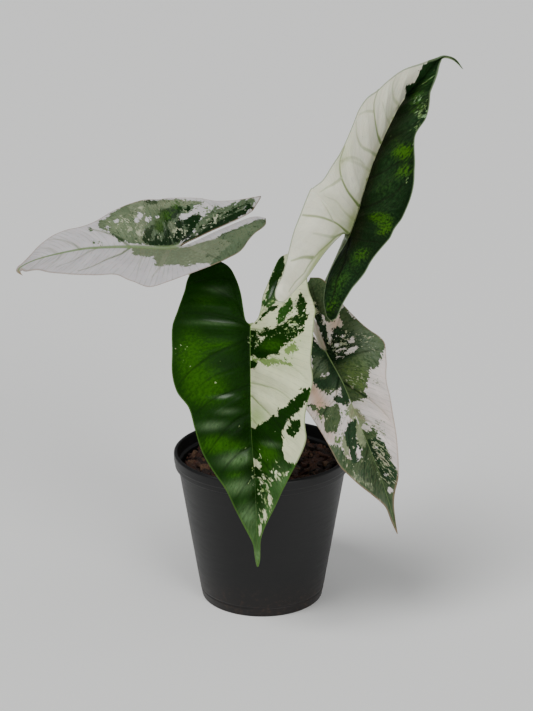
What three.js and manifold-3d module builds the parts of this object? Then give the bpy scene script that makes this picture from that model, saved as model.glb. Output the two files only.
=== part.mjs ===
// A variegated arrow-leaved alocasia in a round black nursery pot.
// Millimetres, +Z up. The origin is the centre of the pot's underside, and the plant is
// looked at along +Y. Four blades stand on four leaf stalks that rise out of one short stem,
// and the stem stands in a plain hole in the bark soil.
import * as THREE from 'three';
import { mergeVertices } from 'three/addons/utils/BufferGeometryUtils.js';
import Module from 'manifold-3d';

const wasm = await Module();
wasm.setup();

// Pot
const POT_HEIGHT = 105.5;
const RIM_RADIUS = 60;
const RIM_BAND = 11;
const BODY_TOP_RADIUS = 57;
const BASE_RADIUS = 42;
const WALL = 1.6;
const FLOOR = 2;
const DRAIN_RADIUS = 5;
const DRAIN_RING = 28;
const DRAIN_COUNT = 6;
const ROUND_STEPS = 48;

// Soil
const CLEARANCE = 0.3;
const SOIL_TOP = 94;
const SOIL_MOUND = 4;
const CHIP_COUNT = 46;
const CHIP_RING_INNER = 21;
const CHIP_RING_OUTER = 46;
const CHIP_DEPTH = 6;
const CHIP_LENGTH = [7, 13];
const CHIP_WIDTH = [4, 8];
const CHIP_STAND = [1.2, 3.8];
const CHIP_LEAN = 0.17;
const CHIP_TAPER = 0.86;
const GOLDEN_ANGLE = 2.39996;

// Stem, and the sockets that the leaf stalks stand in
const STEM_RADIUS = 13;
const STEM_BOTTOM = 58;
const STEM_TOP = 113;
const SOCKET_RING = 6.4;
const SOCKET_DEPTH = 18;
const STALK_BASE_RADIUS = 4;
const STALK_TOP_RADIUS = 2;
const STALK_NECK = 5;
const STALK_SIDES = 8;
const STALK_STEPS = 22;

// Blades
const BLADE_THICKNESS = 0.8;
const MIDRIB_KEEL = 1.6;
const MIDRIB_HALF_WIDTH = 2;
const LOBE_RIB_KEEL = 0.7;
const VEIN_GROOVE = 0.35;
const VEIN_KEEL = 0.5;
const VEIN_SWEEP = 0.65;
const COLUMNS = [0, 0.05, 0.14, 0.32, 0.52, 0.72, 0.9, 1];
const LOBE_RIB_COLUMN = 2;
const LOBE_STEPS = [0, 0.5];
const BLADE_STEPS = [0, 0.16, 0.5, 0.84];

// Every blade is drawn flat first. y runs along the midrib, 0 where the stalk meets it, to the
// tip, and the two lobes lie at y below 0. a is the distance out from the midrib line.
// spine: the midrib line bent in space, and knot tells which of its points is y = 0.
// face: the way the upper face looks at each y. fold and curl: for each half, the degrees that
// it rises from the midrib, and the degrees that it turns over 50 mm outwards, both by y.
// sinus and margin: the inner and outer edges as [y, a]. ribs: the side veins as
// [y on the midrib or the sinus edge, y on the margin]. wave: height, length and start of the
// waves of the margin. quilt: how far the leaf bulges between its side veins.
const LEAVES = {
  front: {
    spine: [[-4, -18, 255], [-5, -39, 236.6], [-7, -56, 210], [-7, -66, 182], [-6.5, -74, 146],
      [-4, -78, 109], [-3, -76, 51]],
    knot: 2,
    face: [[-50, -0.1, -0.7, 0.6], [-20, -0.15, -0.9, 0.3], [0, -0.22, -0.96, 0.1], [160, -0.22, -0.96, 0]],
    quilt: 1.3,
    left: {
      fold: [[-50, 4], [-25, 18], [0, 36], [80, 36], [160, 30]],
      curl: [[-50, -20], [0, -26], [160, -20]],
      sinus: [[-49, 22], [-46, 17], [-38, 13.5], [-27, 10], [-18, 7.5], [-9, 7.5], [-3, 5], [0, 0]],
      margin: [[-49, 22], [-46, 28], [-38, 33], [-28, 35], [-20, 38], [-12, 43.5], [-5, 48], [8, 49.5],
        [22, 48], [34, 49], [46, 46], [56, 44], [68, 43.5], [80, 38], [92, 30], [106, 20],
        [122, 10.5], [136, 5], [146, 3.2], [153, 2], [160, 0]],
      ribs: [[-49, -49], [-34, -32], [-16, -14], [0, 0], [9, 16], [22, 36], [38, 55], [56, 75],
        [76, 95], [98, 113], [124, 135], [160, 160]],
      wave: [1.1, 44, 0.1],
    },
    right: {
      fold: [[-50, 14], [-25, 26], [0, 38], [80, 36], [160, 30]],
      curl: [[-50, -20], [0, -26], [160, -20]],
      sinus: [[-43, 25], [-38, 17], [-30, 12], [-20, 8], [-10, 5.5], [-3, 3.5], [0, 0]],
      margin: [[-43, 25], [-39, 34], [-29, 41], [-16, 43.5], [-5, 47], [3, 50], [16, 50], [30, 50],
        [41, 47], [50, 40], [62, 36.5], [76, 32.5], [88, 27], [101, 20], [116, 14], [130, 8],
        [142, 3], [151, 1.5], [160, 0]],
      ribs: [[-43, -43], [-30, -26], [-15, -12], [0, -2], [9, 15], [22, 36], [38, 56], [56, 77],
        [76, 95], [98, 113], [124, 135], [160, 160]],
      wave: [1.2, 38, 0.55],
    },
  },
  left: {
    spine: [[-4, -13, 271.5], [-27, -26, 264.5], [-54, -38, 256], [-83, -44, 257.6],
      [-108, -48, 257.8], [-121.6, -50, 256], [-140, -51, 251.6], [-150.5, -50, 246.6],
      [-152, -52, 244.6], [-149, -55, 242.4]],
    knot: 2,
    face: [[-60, 0, -0.4, 0.9], [110, 0, -0.4, 0.9]],
    quilt: 0.6,
    left: {
      fold: [[-60, 14], [0, 18], [60, 8], [110, 4]],
      curl: [[-60, -27], [0, -29], [110, -18]],
      sinus: [[-60, 9.5], [-58, 4.5], [-54, 1.2], [-45, 0.2], [-20, 0.2], [-5, 0.2], [0, 0]],
      margin: [[-60, 9.5], [-57, 14], [-52, 17.5], [-45, 20.5], [-38, 24.5], [-30, 30], [-20, 31],
        [-10, 32.5], [0, 34.5], [10, 38], [19, 41.5], [25, 40], [33, 36], [40, 30.5], [50, 28],
        [60, 25.5], [70, 22.5], [80, 18], [88, 11], [96, 6.5], [101, 2], [104, 1], [107.4, 0]],
      ribs: [[-60, -60], [-42, -34], [-22, -18], [0, 0], [8, 14], [18, 30], [32, 50], [48, 66],
        [64, 80], [80, 92], [94, 101], [107.4, 107.4]],
      wave: [0.9, 40, 0.3],
    },
    right: {
      fold: [[-60, 34], [0, 37], [60, 20], [110, 12]],
      curl: [[-60, -39], [0, -41], [110, -23]],
      sinus: [[-67.5, 9.5], [-62, 6], [-56, 2.8], [-40, 1.5], [-20, 1.4], [-5, 1.1], [0, 0]],
      margin: [[-67.5, 9.5], [-62, 11], [-55, 13], [-46, 16.5], [-38, 20], [-30, 25], [-20, 31],
        [-10, 36], [0, 38], [10, 38], [20, 36.5], [30, 32], [40, 28], [50, 21.5], [58, 18],
        [66, 17], [76, 15], [84, 11.5], [92, 7], [98, 3], [103, 1], [107.4, 0]],
      ribs: [[-67.5, -67.5], [-46, -40], [-24, -18], [0, 0], [8, 14], [18, 30], [32, 46],
        [48, 62], [64, 78], [80, 91], [94, 100], [107.4, 107.4]],
      wave: [0.9, 46, 0.7],
    },
  },
  upright: {
    spine: [[26, -55, 219], [40, -40, 239.6], [56, -20, 260], [69.5, 0, 297], [80, 15, 318.5],
      [92, 28, 338], [106, 38, 352], [117, 45, 362], [120.5, 44.5, 363.5], [126, 43, 362],
      [132, 40, 356.5]],
    knot: 2,
    face: [[-60, 0.1, -0.85, 0.4], [70, 0.1, -0.85, 0.4], [140, 0.2, -0.85, 0.4], [156, 0.2, -0.85, 0.4]],
    quilt: 0.8,
    left: {
      fold: [[-60, 58], [0, 60], [138, 56], [150, 20]],
      curl: [[-60, -19], [140, -19]],
      sinus: [[-71.5, 28], [-69, 23.5], [-63, 21], [-55, 18.5], [-45, 15.2], [-35, 14], [-22, 12.8],
        [-12, 10.5], [-4, 6.5], [0, 0]],
      margin: [[-71.5, 28], [-70.5, 32], [-66, 35.5], [-58, 37], [-48, 41.5], [-38, 46], [-29, 50],
        [-22, 53.5], [-14, 56], [-5, 55.5], [4, 54.5], [11, 52], [21, 46], [31, 42], [40, 39],
        [52, 39.5], [64, 40], [76, 37], [86, 31], [97, 27.5], [109, 22], [121, 13], [129, 7],
        [138, 1.6], [148, 1.1], [155.8, 0]],
      ribs: [[-71.5, -71.5], [-54, -54], [-28, -38], [0, -20], [9, 10], [20, 40], [40, 62],
        [62, 90], [84, 106], [102, 120], [122, 132], [138, 140], [155.8, 155.8]],
      wave: [1.0, 52, 0.2],
    },
    right: {
      fold: [[-60, 56], [0, 58], [138, 56], [150, 20]],
      curl: [[-60, -19], [140, -19]],
      sinus: [[-64.5, 27], [-63, 23], [-59, 18.5], [-52, 12.5], [-42, 7], [-30, 3], [-16, 0.8],
        [-5, 0.5], [0, 0]],
      margin: [[-64.5, 27], [-62, 30], [-52, 29.5], [-40, 29], [-30, 31], [-20, 31.5], [-12, 33],
        [-2, 35.5], [6, 36], [14, 40], [25, 43], [34, 42.5], [47, 38], [60, 33], [72, 30],
        [86, 30], [99, 26], [109, 20], [122, 11], [133, 4], [139, 1.5], [148, 1.1], [155.8, 0]],
      ribs: [[-64.5, -64.5], [-44, -46], [-22, -28], [0, -12], [9, 10], [20, 36], [40, 58],
        [62, 82], [84, 102], [102, 118], [122, 131], [138, 140], [155.8, 155.8]],
      wave: [1.0, 40, 0.6],
    },
  },
  right_low: {
    spine: [[22, -14, 222], [31, -28, 207], [41.5, -40, 187], [52, -48, 169], [63, -55, 143],
      [73.5, -60, 117.5], [82, -62, 93], [88.5, -60, 69]],
    knot: 2,
    face: [[-45, 0.1, -0.8, 0.3], [0, 0.1, -0.95, 0.2], [60, 0.1, -0.95, 0.25], [130, 0.1, -0.95, 0.2]],
    quilt: 0.7,
    left: {
      fold: [[-45, 44], [0, 46], [130, 40]],
      curl: [[-45, -26], [130, -26]],
      sinus: [[-47, 14], [-45, 9], [-38, 6], [-28, 4], [-16, 2.5], [-6, 1.5], [0, 0]],
      margin: [[-47, 14], [-42, 20], [-34, 23], [-26, 25], [-20, 26.5], [-9, 31.5], [3, 36.5],
        [13, 40.5], [20, 36.5], [29, 31], [40, 28.5], [52, 25], [68, 21], [80, 17], [90, 12.5],
        [100, 6], [108, 3], [120, 1.5], [130.4, 0]],
      ribs: [[-47, -47], [-30, -28], [-14, -12], [0, 6], [8, 20], [20, 36], [36, 54], [54, 70],
        [72, 86], [90, 100], [110, 116], [130.4, 130.4]],
      wave: [0.9, 42, 0.4],
    },
    right: {
      fold: [[-45, 40], [0, 40], [130, 36]],
      curl: [[-45, -26], [130, -26]],
      sinus: [[-45, 16], [-38, 11], [-28, 7], [-15, 4], [-5, 2], [0, 0]],
      margin: [[-45, 16], [-42, 20], [-35, 26], [-25, 31], [-15, 35], [-4, 39], [8, 41], [18, 38],
        [28, 34], [38, 31.5], [48, 30], [58, 29], [68, 27], [78, 22], [88, 16.5], [98, 10],
        [108, 4], [120, 1.5], [130.4, 0]],
      ribs: [[-45, -45], [-30, -28], [-14, -10], [0, 6], [8, 20], [20, 36], [36, 54], [54, 70],
        [72, 86], [90, 100], [110, 116], [130.4, 130.4]],
      wave: [0.9, 42, 0.9],
    },
  },
};

// The leaf stalks between the stem and the blades, without their first and last points.
// angle is where on the stem each one starts.
const STALKS = {
  front: { angle: -90, way: [[-2, -15, 150], [-5, -30, 187], [-7, -45, 204]] },
  right_low: { angle: 0, way: [[12, -3, 150], [15, -5, 180], [20, -12, 203], [29.5, -25, 207]] },
  upright: { angle: 90, way: [[16, 8, 165], [40, 8, 212], [52, -4, 245]] },
  left: { angle: 180, way: [[-17, -1, 168], [-36, -12, 216], [-49, -28, 242]] },
};

const COLOURS = {
  pot: 0x161616,
  soil: 0x4a2c1e,
  stem: 0x6f7d4a,
  stalk: 0x8f9a6a,
  front: 0x3f6b1c,
  left: 0xbcc0b2,
  upright: 0xc4c6ae,
  right_low: 0x9aa086,
};

const smooth = (low, high, x) => THREE.MathUtils.smoothstep(x, low, high);

// A cubic through values at knots. The slope at a knot comes from its two neighbours, and the
// curve runs straight on past its ends.
function spline(knots, values, q) {
  const last = knots.length - 1;
  const slope = (i) => {
    const before = Math.max(i - 1, 0);
    const after = Math.min(i + 1, last);
    const span = knots[after] - knots[before];
    return values[after].map((value, k) => (value - values[before][k]) / span);
  };
  let i = 0;
  while (i < last - 1 && q >= knots[i + 1]) i += 1;
  const span = knots[i + 1] - knots[i];
  const t = (q - knots[i]) / span;
  const u = Math.min(Math.max(t, 0), 1);
  const start = slope(i);
  const end = slope(i + 1);
  const past = (t - u) * span;
  return values[i].map((value, k) => (2 * u ** 3 - 3 * u ** 2 + 1) * value
    + (u ** 3 - 2 * u ** 2 + u) * span * start[k]
    + (3 * u ** 2 - 2 * u ** 3) * values[i + 1][k]
    + (u ** 3 - u ** 2) * span * end[k]
    + past * (t < 0 ? start[k] : end[k]));
}

// The value or values that a table of [y, ...values] gives at one y, held at its ends.
function lookup(table, y) {
  const held = Math.min(Math.max(y, table[0][0]), table[table.length - 1][0]);
  return spline(table.map((row) => row[0]), table.map((row) => row.slice(1)), held);
}

// Distances along the spine points, counted from the point where the stalk meets the blade.
function spineKnots(leaf) {
  const along = [0];
  for (let i = 1; i < leaf.spine.length; i += 1) {
    const step = new THREE.Vector3(...leaf.spine[i]).distanceTo(new THREE.Vector3(...leaf.spine[i - 1]));
    along.push(along[i - 1] + step);
  }
  return along.map((value) => value - along[leaf.knot]);
}

// The midrib's place at y, the way it runs, the way the upper face looks, and the way across.
function spineFrame(leaf, y) {
  const knots = spineKnots(leaf);
  const at = (q) => new THREE.Vector3(...spline(knots, leaf.spine, q));
  const run = at(y + 0.5).sub(at(y - 0.5)).normalize();
  const face = new THREE.Vector3(...lookup(leaf.face, y));
  face.addScaledVector(run, -face.dot(run)).normalize();
  return { place: at(y), face, across: new THREE.Vector3().crossVectors(run, face) };
}

// A point of one half: it leaves the midrib at the fold angle and turns evenly by the curl, so
// across it is an arc of a circle. up is the way the upper face looks there.
function bend(leaf, side, a, y) {
  const { place, face, across } = spineFrame(leaf, y);
  const half = side < 0 ? leaf.left : leaf.right;
  const fold = THREE.MathUtils.degToRad(lookup(half.fold, y)[0]);
  const turn = THREE.MathUtils.degToRad(lookup(half.curl, y)[0]) / 50;
  const out = (Math.sin(fold + turn * a) - Math.sin(fold)) / turn;
  const rise = (Math.cos(fold) - Math.cos(fold + turn * a)) / turn;
  const angle = fold + turn * a;
  const point = place.clone().addScaledVector(across, side * out).addScaledVector(face, rise);
  const up = face.clone().multiplyScalar(Math.cos(angle)).addScaledVector(across, -side * Math.sin(angle));
  return { point, up, face };
}

// One row of a half, from the midrib or sinus edge to the margin. s counts the side veins, so
// a whole s lies on a vein. The row leaves the midrib square and sweeps towards the tip.
function bladeRow(leaf, side, s) {
  const half = side < 0 ? leaf.left : leaf.right;
  const count = half.ribs.map((_, k) => k);
  const [inner, outer] = spline(count, half.ribs, s);
  const start = inner < 0 ? lookup(half.sinus, inner)[0] : 0;
  const end = lookup(half.margin, outer)[0];
  return COLUMNS.map((t) => ({
    t,
    a: start + (end - start) * t,
    y: inner + (outer - inner) * ((1 - VEIN_SWEEP) * t + VEIN_SWEEP * t * t),
    inner,
    width: end,
  }));
}

// How far the upper face stands off the plain bent sheet: waves at the margin, a bulge between
// neighbouring side veins, and a groove along each vein.
function relief(leaf, half, s, cell) {
  const [height, length, start] = half.wave;
  const wave = height * cell.t ** 2 * Math.sin(2 * Math.PI * (cell.y / length + start));
  const between = Math.sin(Math.PI * (s - Math.floor(s))) ** 2;
  const body = smooth(0, 0.3, cell.t) * (1 - 0.75 * smooth(0.7, 1, cell.t)) * smooth(4, 20, cell.width);
  const groove = Number.isInteger(s) ? VEIN_GROOVE * smooth(0, 0.1, cell.t) * smooth(4, 12, cell.width) : 0;
  return wave + leaf.quilt * between * body - groove;
}

// Thickness of the blade: a keel under the midrib, one along each lobe, and a low one under
// each side vein.
function thickness(s, cell, column) {
  const slim = smooth(1, 14, cell.width);
  let depth = BLADE_THICKNESS;
  if (cell.inner >= 0) {
    depth += MIDRIB_KEEL * slim * Math.exp(-((cell.a / MIDRIB_HALF_WIDTH) ** 2));
  } else if (column === LOBE_RIB_COLUMN) {
    depth += LOBE_RIB_KEEL * slim;
  }
  if (Number.isInteger(s)) depth += VEIN_KEEL * slim * smooth(0, 0.1, cell.t) * (1 - smooth(0.8, 1, cell.t));
  return depth;
}

// The closed solid of one blade. Both faces are split into triangles alike.
function bladeGeometry(leaf) {
  const points = [];
  const triangles = [];
  const shared = new Map();
  const vertex = (key, point) => {
    if (!shared.has(key)) {
      shared.set(key, points.length / 3);
      points.push(point.x, point.y, point.z);
    }
    return shared.get(key);
  };
  const triangle = (a, b, c) => {
    if (a !== b && b !== c && a !== c) triangles.push(a, b, c);
  };
  const quad = ([a, b, c, d]) => {
    triangle(a, b, d);
    triangle(a, d, c);
  };
  const mirrored = ([a, b, c, d]) => [b, a, d, c];
  const facing = (side, corners) => quad(side > 0 ? corners : mirrored(corners));
  for (const side of [-1, 1]) {
    const half = side < 0 ? leaf.left : leaf.right;
    const last = half.ribs.length - 1;
    const apex = half.ribs.findIndex(([inner]) => inner >= 0);
    const stations = [];
    for (let k = 0; k < last; k += 1) {
      const steps = k < apex ? LOBE_STEPS : BLADE_STEPS;
      steps.forEach((step) => stations.push(k + step));
    }
    stations.push(last);
    const top = [];
    const bottom = [];
    stations.forEach((s) => {
      const row = bladeRow(leaf, side, s);
      const upper = [];
      const lower = [];
      row.forEach((cell, column) => {
        const onMidrib = s >= apex && column === 0;
        const { point, up, face } = bend(leaf, side, cell.a, cell.y);
        const normal = onMidrib ? face : up;
        const high = point.clone().addScaledVector(normal, relief(leaf, half, s, cell));
        const low = high.clone().addScaledVector(normal, -thickness(s, cell, column));
        let key = `${side}:${s}:${column}`;
        if (onMidrib) key = `midrib:${s - apex}`;
        if (s === 0) key = `lobe:${side}`;
        if (s === last) key = 'tip';
        upper.push(vertex(`upper ${key}`, high));
        lower.push(vertex(`lower ${key}`, low));
      });
      top.push(upper);
      bottom.push(lower);
    });
    const outside = COLUMNS.length - 1;
    for (let r = 0; r + 1 < stations.length; r += 1) {
      for (let c = 0; c < outside; c += 1) {
        const cell = (layer) => [layer[r][c], layer[r][c + 1], layer[r + 1][c], layer[r + 1][c + 1]];
        facing(side, cell(top));
        facing(-side, cell(bottom));
      }
      facing(side, [top[r][outside], bottom[r][outside], top[r + 1][outside], bottom[r + 1][outside]]);
      if (stations[r] < apex) facing(side, [bottom[r][0], top[r][0], bottom[r + 1][0], top[r + 1][0]]);
    }
  }
  const geometry = new THREE.BufferGeometry();
  geometry.setAttribute('position', new THREE.Float32BufferAttribute(points, 3));
  geometry.setIndex(triangles);
  geometry.computeVertexNormals();
  return geometry;
}

// A closed tube through the points, with a radius that runs evenly from one end to the other.
function taperedTube(points, radiusStart, radiusEnd, sides, steps) {
  const path = new THREE.CatmullRomCurve3(points, false, 'centripetal');
  const frames = path.computeFrenetFrames(steps, false);
  const centres = path.getSpacedPoints(steps);
  const vertices = [];
  const triangles = [];
  for (let i = 0; i <= steps; i += 1) {
    const radius = THREE.MathUtils.lerp(radiusStart, radiusEnd, i / steps);
    for (let k = 0; k < sides; k += 1) {
      const angle = (2 * Math.PI * k) / sides;
      const spot = centres[i].clone();
      spot.addScaledVector(frames.normals[i], radius * Math.cos(angle));
      spot.addScaledVector(frames.binormals[i], radius * Math.sin(angle));
      vertices.push(spot.x, spot.y, spot.z);
    }
  }
  for (let i = 0; i < steps; i += 1) {
    for (let k = 0; k < sides; k += 1) {
      const next = (k + 1) % sides;
      const [p, q] = [i * sides + k, i * sides + next];
      triangles.push(p, q, q + sides, p, q + sides, p + sides);
    }
  }
  const first = vertices.length / 3;
  const start = centres[0];
  const end = centres[steps];
  vertices.push(start.x, start.y, start.z, end.x, end.y, end.z);
  for (let k = 0; k < sides; k += 1) {
    const next = (k + 1) % sides;
    triangles.push(first, next, k);
    triangles.push(first + 1, steps * sides + k, steps * sides + next);
  }
  const geometry = new THREE.BufferGeometry();
  geometry.setAttribute('position', new THREE.Float32BufferAttribute(vertices, 3));
  geometry.setIndex(triangles);
  return geometry;
}

// A profile of [radius, height] turned about the vertical axis.
function turned(profile, steps) {
  const geometry = new THREE.LatheGeometry(profile.map(([r, z]) => new THREE.Vector2(r, z)), steps);
  geometry.rotateX(Math.PI / 2);
  return geometry;
}

function upright(radius, low, high, sides, x = 0, y = 0) {
  const geometry = new THREE.CylinderGeometry(radius, radius, high - low, sides);
  geometry.rotateX(Math.PI / 2);
  geometry.translate(x, y, (low + high) / 2);
  return geometry;
}

function solid(geometry) {
  const bare = geometry.clone();
  bare.deleteAttribute('normal');
  bare.deleteAttribute('uv');
  const merged = mergeVertices(bare, 1e-4);
  return new wasm.Manifold(new wasm.Mesh({
    numProp: 3,
    vertProperties: new Float32Array(merged.attributes.position.array),
    triVerts: new Uint32Array(merged.index.array),
  }));
}

function surface(body) {
  const mesh = body.getMesh();
  const geometry = new THREE.BufferGeometry();
  geometry.setAttribute('position', new THREE.BufferAttribute(new Float32Array(mesh.vertProperties), 3));
  geometry.setIndex(new THREE.BufferAttribute(new Uint32Array(mesh.triVerts), 1));
  geometry.computeVertexNormals();
  return geometry;
}

// Pot: a tapered cup with a turned-out rim band and drain holes round its flat floor.
const bodyRadius = (z) => BASE_RADIUS + (BODY_TOP_RADIUS - BASE_RADIUS) * (z / (POT_HEIGHT - RIM_BAND));
const rimLow = POT_HEIGHT - RIM_BAND;
const potProfile = [
  [0, 0], [BASE_RADIUS - 1.5, 0], [BASE_RADIUS, 1.5], [bodyRadius(rimLow), rimLow],
  [RIM_RADIUS - 0.8, rimLow + 0.6], [RIM_RADIUS, POT_HEIGHT - 1.2], [RIM_RADIUS - 1.2, POT_HEIGHT],
  [RIM_RADIUS - WALL - 0.8, POT_HEIGHT - 0.4], [RIM_RADIUS - WALL - 1.4, rimLow + 2.4],
  [bodyRadius(rimLow) - WALL, rimLow + 1.4], [BASE_RADIUS - WALL + 0.3, FLOOR + 1],
  [BASE_RADIUS - WALL - 1, FLOOR], [0, FLOOR],
];
let pot = solid(turned(potProfile, ROUND_STEPS));
for (let k = 0; k < DRAIN_COUNT; k += 1) {
  const angle = (2 * Math.PI * (k + 0.5)) / DRAIN_COUNT;
  const [x, y] = [DRAIN_RING * Math.cos(angle), DRAIN_RING * Math.sin(angle)];
  pot = pot.subtract(solid(upright(DRAIN_RADIUS, -2, FLOOR + 2, 12, x, y)));
}

// Soil: it fills the pot to just under the rim band, a little higher round the stem, with bark
// chips that stand out of it. Every chip goes straight down into the soil.
const insideRadius = (z) => bodyRadius(z) - WALL - CLEARANCE;
const soilProfile = [
  [0, FLOOR + CLEARANCE], [insideRadius(0) - 1.4, FLOOR + CLEARANCE],
  [insideRadius(3.6) - 0.1, FLOOR + 1.8], [insideRadius(SOIL_TOP - 3) - 0.2, SOIL_TOP - 3],
  [insideRadius(SOIL_TOP) - 2, SOIL_TOP], [38, SOIL_TOP + 0.6], [26, SOIL_TOP + SOIL_MOUND * 0.6],
  [STEM_RADIUS + 3, SOIL_TOP + SOIL_MOUND], [0, SOIL_TOP + SOIL_MOUND],
];
const soilHeight = (r) => lookup([[0, SOIL_TOP + SOIL_MOUND], [STEM_RADIUS + 3, SOIL_TOP + SOIL_MOUND],
  [26, SOIL_TOP + SOIL_MOUND * 0.6], [38, SOIL_TOP + 0.6], [52, SOIL_TOP]], r)[0];
let soil = solid(turned(soilProfile, ROUND_STEPS));
const draw = ([low, high]) => THREE.MathUtils.lerp(low, high, THREE.MathUtils.seededRandom());
THREE.MathUtils.seededRandom(7);
for (let k = 0; k < CHIP_COUNT; k += 1) {
  const angle = k * GOLDEN_ANGLE + draw([0, 0.4]);
  const ring = CHIP_RING_INNER + (CHIP_RING_OUTER - CHIP_RING_INNER) * Math.sqrt((k + 0.5) / CHIP_COUNT);
  const chip = new THREE.BoxGeometry(draw(CHIP_LENGTH), draw(CHIP_WIDTH), 2 * CHIP_DEPTH);
  const corners = chip.attributes.position;
  const lean = [draw([-CHIP_LEAN, CHIP_LEAN]), draw([-CHIP_LEAN, CHIP_LEAN])];
  const stand = draw(CHIP_STAND);
  for (let i = 0; i < corners.count; i += 1) {
    if (corners.getZ(i) > 0) {
      corners.setZ(i, stand + lean[0] * corners.getX(i) + lean[1] * corners.getY(i));
      corners.setX(i, corners.getX(i) * CHIP_TAPER);
    }
  }
  chip.rotateZ(draw([0, 2 * Math.PI]));
  chip.translate(ring * Math.cos(angle), ring * Math.sin(angle), soilHeight(ring));
  soil = soil.add(solid(chip));
}
soil = soil.subtract(solid(upright(STEM_RADIUS + CLEARANCE, STEM_BOTTOM - CLEARANCE, 140, 32)));

// Stem: a short round stock with the scars of old leaves round it, and a socket for each stalk.
const stemProfile = [
  [0, STEM_BOTTOM], [STEM_RADIUS - 2, STEM_BOTTOM], [STEM_RADIUS, STEM_BOTTOM + 2],
  [STEM_RADIUS, 99], [STEM_RADIUS - 0.7, 100.2], [STEM_RADIUS - 0.2, 101.6], [STEM_RADIUS - 0.3, 104.4],
  [STEM_RADIUS - 1, 105.6], [STEM_RADIUS - 0.6, 107], [STEM_RADIUS - 1, 109.6],
  [STEM_RADIUS - 2.2, 111.6], [STEM_RADIUS - 4.5, STEM_TOP], [0, STEM_TOP],
];
let stem = solid(turned(stemProfile, 32));
const stalkFoot = (angle) => {
  const turn = THREE.MathUtils.degToRad(angle);
  return [SOCKET_RING * Math.cos(turn), SOCKET_RING * Math.sin(turn)];
};
for (const { angle } of Object.values(STALKS)) {
  const [x, y] = stalkFoot(angle);
  const hole = upright(STALK_BASE_RADIUS + CLEARANCE, STEM_TOP - SOCKET_DEPTH, STEM_TOP + 5, 16, x, y);
  stem = stem.subtract(solid(hole));
}

function stalkGeometry(name) {
  const leaf = LEAVES[name];
  const { angle, way } = STALKS[name];
  const [x, y] = stalkFoot(angle);
  const { place, face } = spineFrame(leaf, 0);
  const under = BLADE_THICKNESS + MIDRIB_KEEL + CLEARANCE + 0.1;
  const end = place.clone().addScaledVector(face, -under);
  const before = place.clone().addScaledVector(face, -under - STALK_NECK);
  const points = [
    new THREE.Vector3(x, y, STEM_TOP - SOCKET_DEPTH + CLEARANCE),
    new THREE.Vector3(x, y, STEM_TOP - SOCKET_DEPTH / 2),
    new THREE.Vector3(x, y, STEM_TOP + 2),
    ...way.map((point) => new THREE.Vector3(...point)),
    before,
    end,
  ];
  return taperedTube(points, STALK_BASE_RADIUS, STALK_TOP_RADIUS, STALK_SIDES, STALK_STEPS);
}

function named(name, geometry, color, roughness) {
  const mesh = new THREE.Mesh(geometry, new THREE.MeshStandardMaterial({ color, roughness, metalness: 0 }));
  mesh.name = name;
  return mesh;
}

const container = new THREE.Group();
container.add(named('pot', surface(pot), COLOURS.pot, 0.55));
container.add(named('soil', surface(soil), COLOURS.soil, 0.95));

const plant = new THREE.Group();
plant.add(named('stem', surface(stem), COLOURS.stem, 0.7));
for (const name of Object.keys(LEAVES)) {
  plant.add(named(`petiole_${name}`, stalkGeometry(name), COLOURS.stalk, 0.5));
  plant.add(named(`blade_${name}`, bladeGeometry(LEAVES[name]), COLOURS[name], 0.35));
}

const alocasia = new THREE.Group();
alocasia.add(container, plant);

export default alocasia;
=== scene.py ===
# %% [markdown]
# # A potted arrow-leaved alocasia with cream variegation
#
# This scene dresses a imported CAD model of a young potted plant. The CAD model is the fixed
# frame: it says where the pot, the soil, the stem, the four leaf stalks and the four blades
# are. Each of them gets a finer piece here, in the same place and in metres.
#
# The lengths below are written in millimetres, because that is how a pot or a leaf is measured,
# and they are turned into metres once, where a mesh is made.

# %% Load the frame
from functools import partial, reduce

import bpy
import numpy as np
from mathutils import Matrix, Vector


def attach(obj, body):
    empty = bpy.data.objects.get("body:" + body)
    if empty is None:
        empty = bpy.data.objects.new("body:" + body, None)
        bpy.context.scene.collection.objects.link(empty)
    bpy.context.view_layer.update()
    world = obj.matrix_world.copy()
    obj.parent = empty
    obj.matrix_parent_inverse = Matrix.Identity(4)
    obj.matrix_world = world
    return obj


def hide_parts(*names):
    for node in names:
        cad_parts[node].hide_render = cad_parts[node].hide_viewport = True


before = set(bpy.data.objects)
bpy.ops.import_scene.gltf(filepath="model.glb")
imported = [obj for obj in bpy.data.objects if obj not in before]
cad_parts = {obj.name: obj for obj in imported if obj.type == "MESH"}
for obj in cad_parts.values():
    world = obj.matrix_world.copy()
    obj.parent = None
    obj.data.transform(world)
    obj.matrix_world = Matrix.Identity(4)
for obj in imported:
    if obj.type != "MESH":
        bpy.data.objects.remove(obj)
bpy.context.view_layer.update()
print("CAD nodes:", sorted(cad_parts))

# %% [markdown]
# ## The camera
#
# The photograph looks slightly down on the plant with a short telephoto lens, so that the blades
# keep their true proportions. A wide lens from close by would swell the blade that hangs in
# front. An 85 mm lens at 1.12 m gives the same view, 18 degrees above the horizon.

# %% Camera
MM = 0.001
CAMERA_AIM = np.array([3, 0, 172]) * MM
CAMERA_REACH = 1.12
CAMERA_TILT = np.radians(18)
LENS_LENGTH = 85
SENSOR_WIDTH = 36


def new_object(name, data):
    """An object for a mesh, a camera or a lamp, put into the scene."""
    made = bpy.data.objects.new(name, data)
    bpy.context.scene.collection.objects.link(made)
    return made


lens = bpy.data.cameras.new("camera")
lens.lens = LENS_LENGTH
lens.sensor_width = SENSOR_WIDTH
camera = new_object("camera", lens)
looking = np.array([0, np.cos(CAMERA_TILT), -np.sin(CAMERA_TILT)])
camera.location = CAMERA_AIM - CAMERA_REACH * looking
camera.rotation_euler = (np.pi / 2 - CAMERA_TILT, 0, 0)
bpy.context.scene.camera = camera
print("camera at", np.round(camera.location, 3).tolist())

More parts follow.
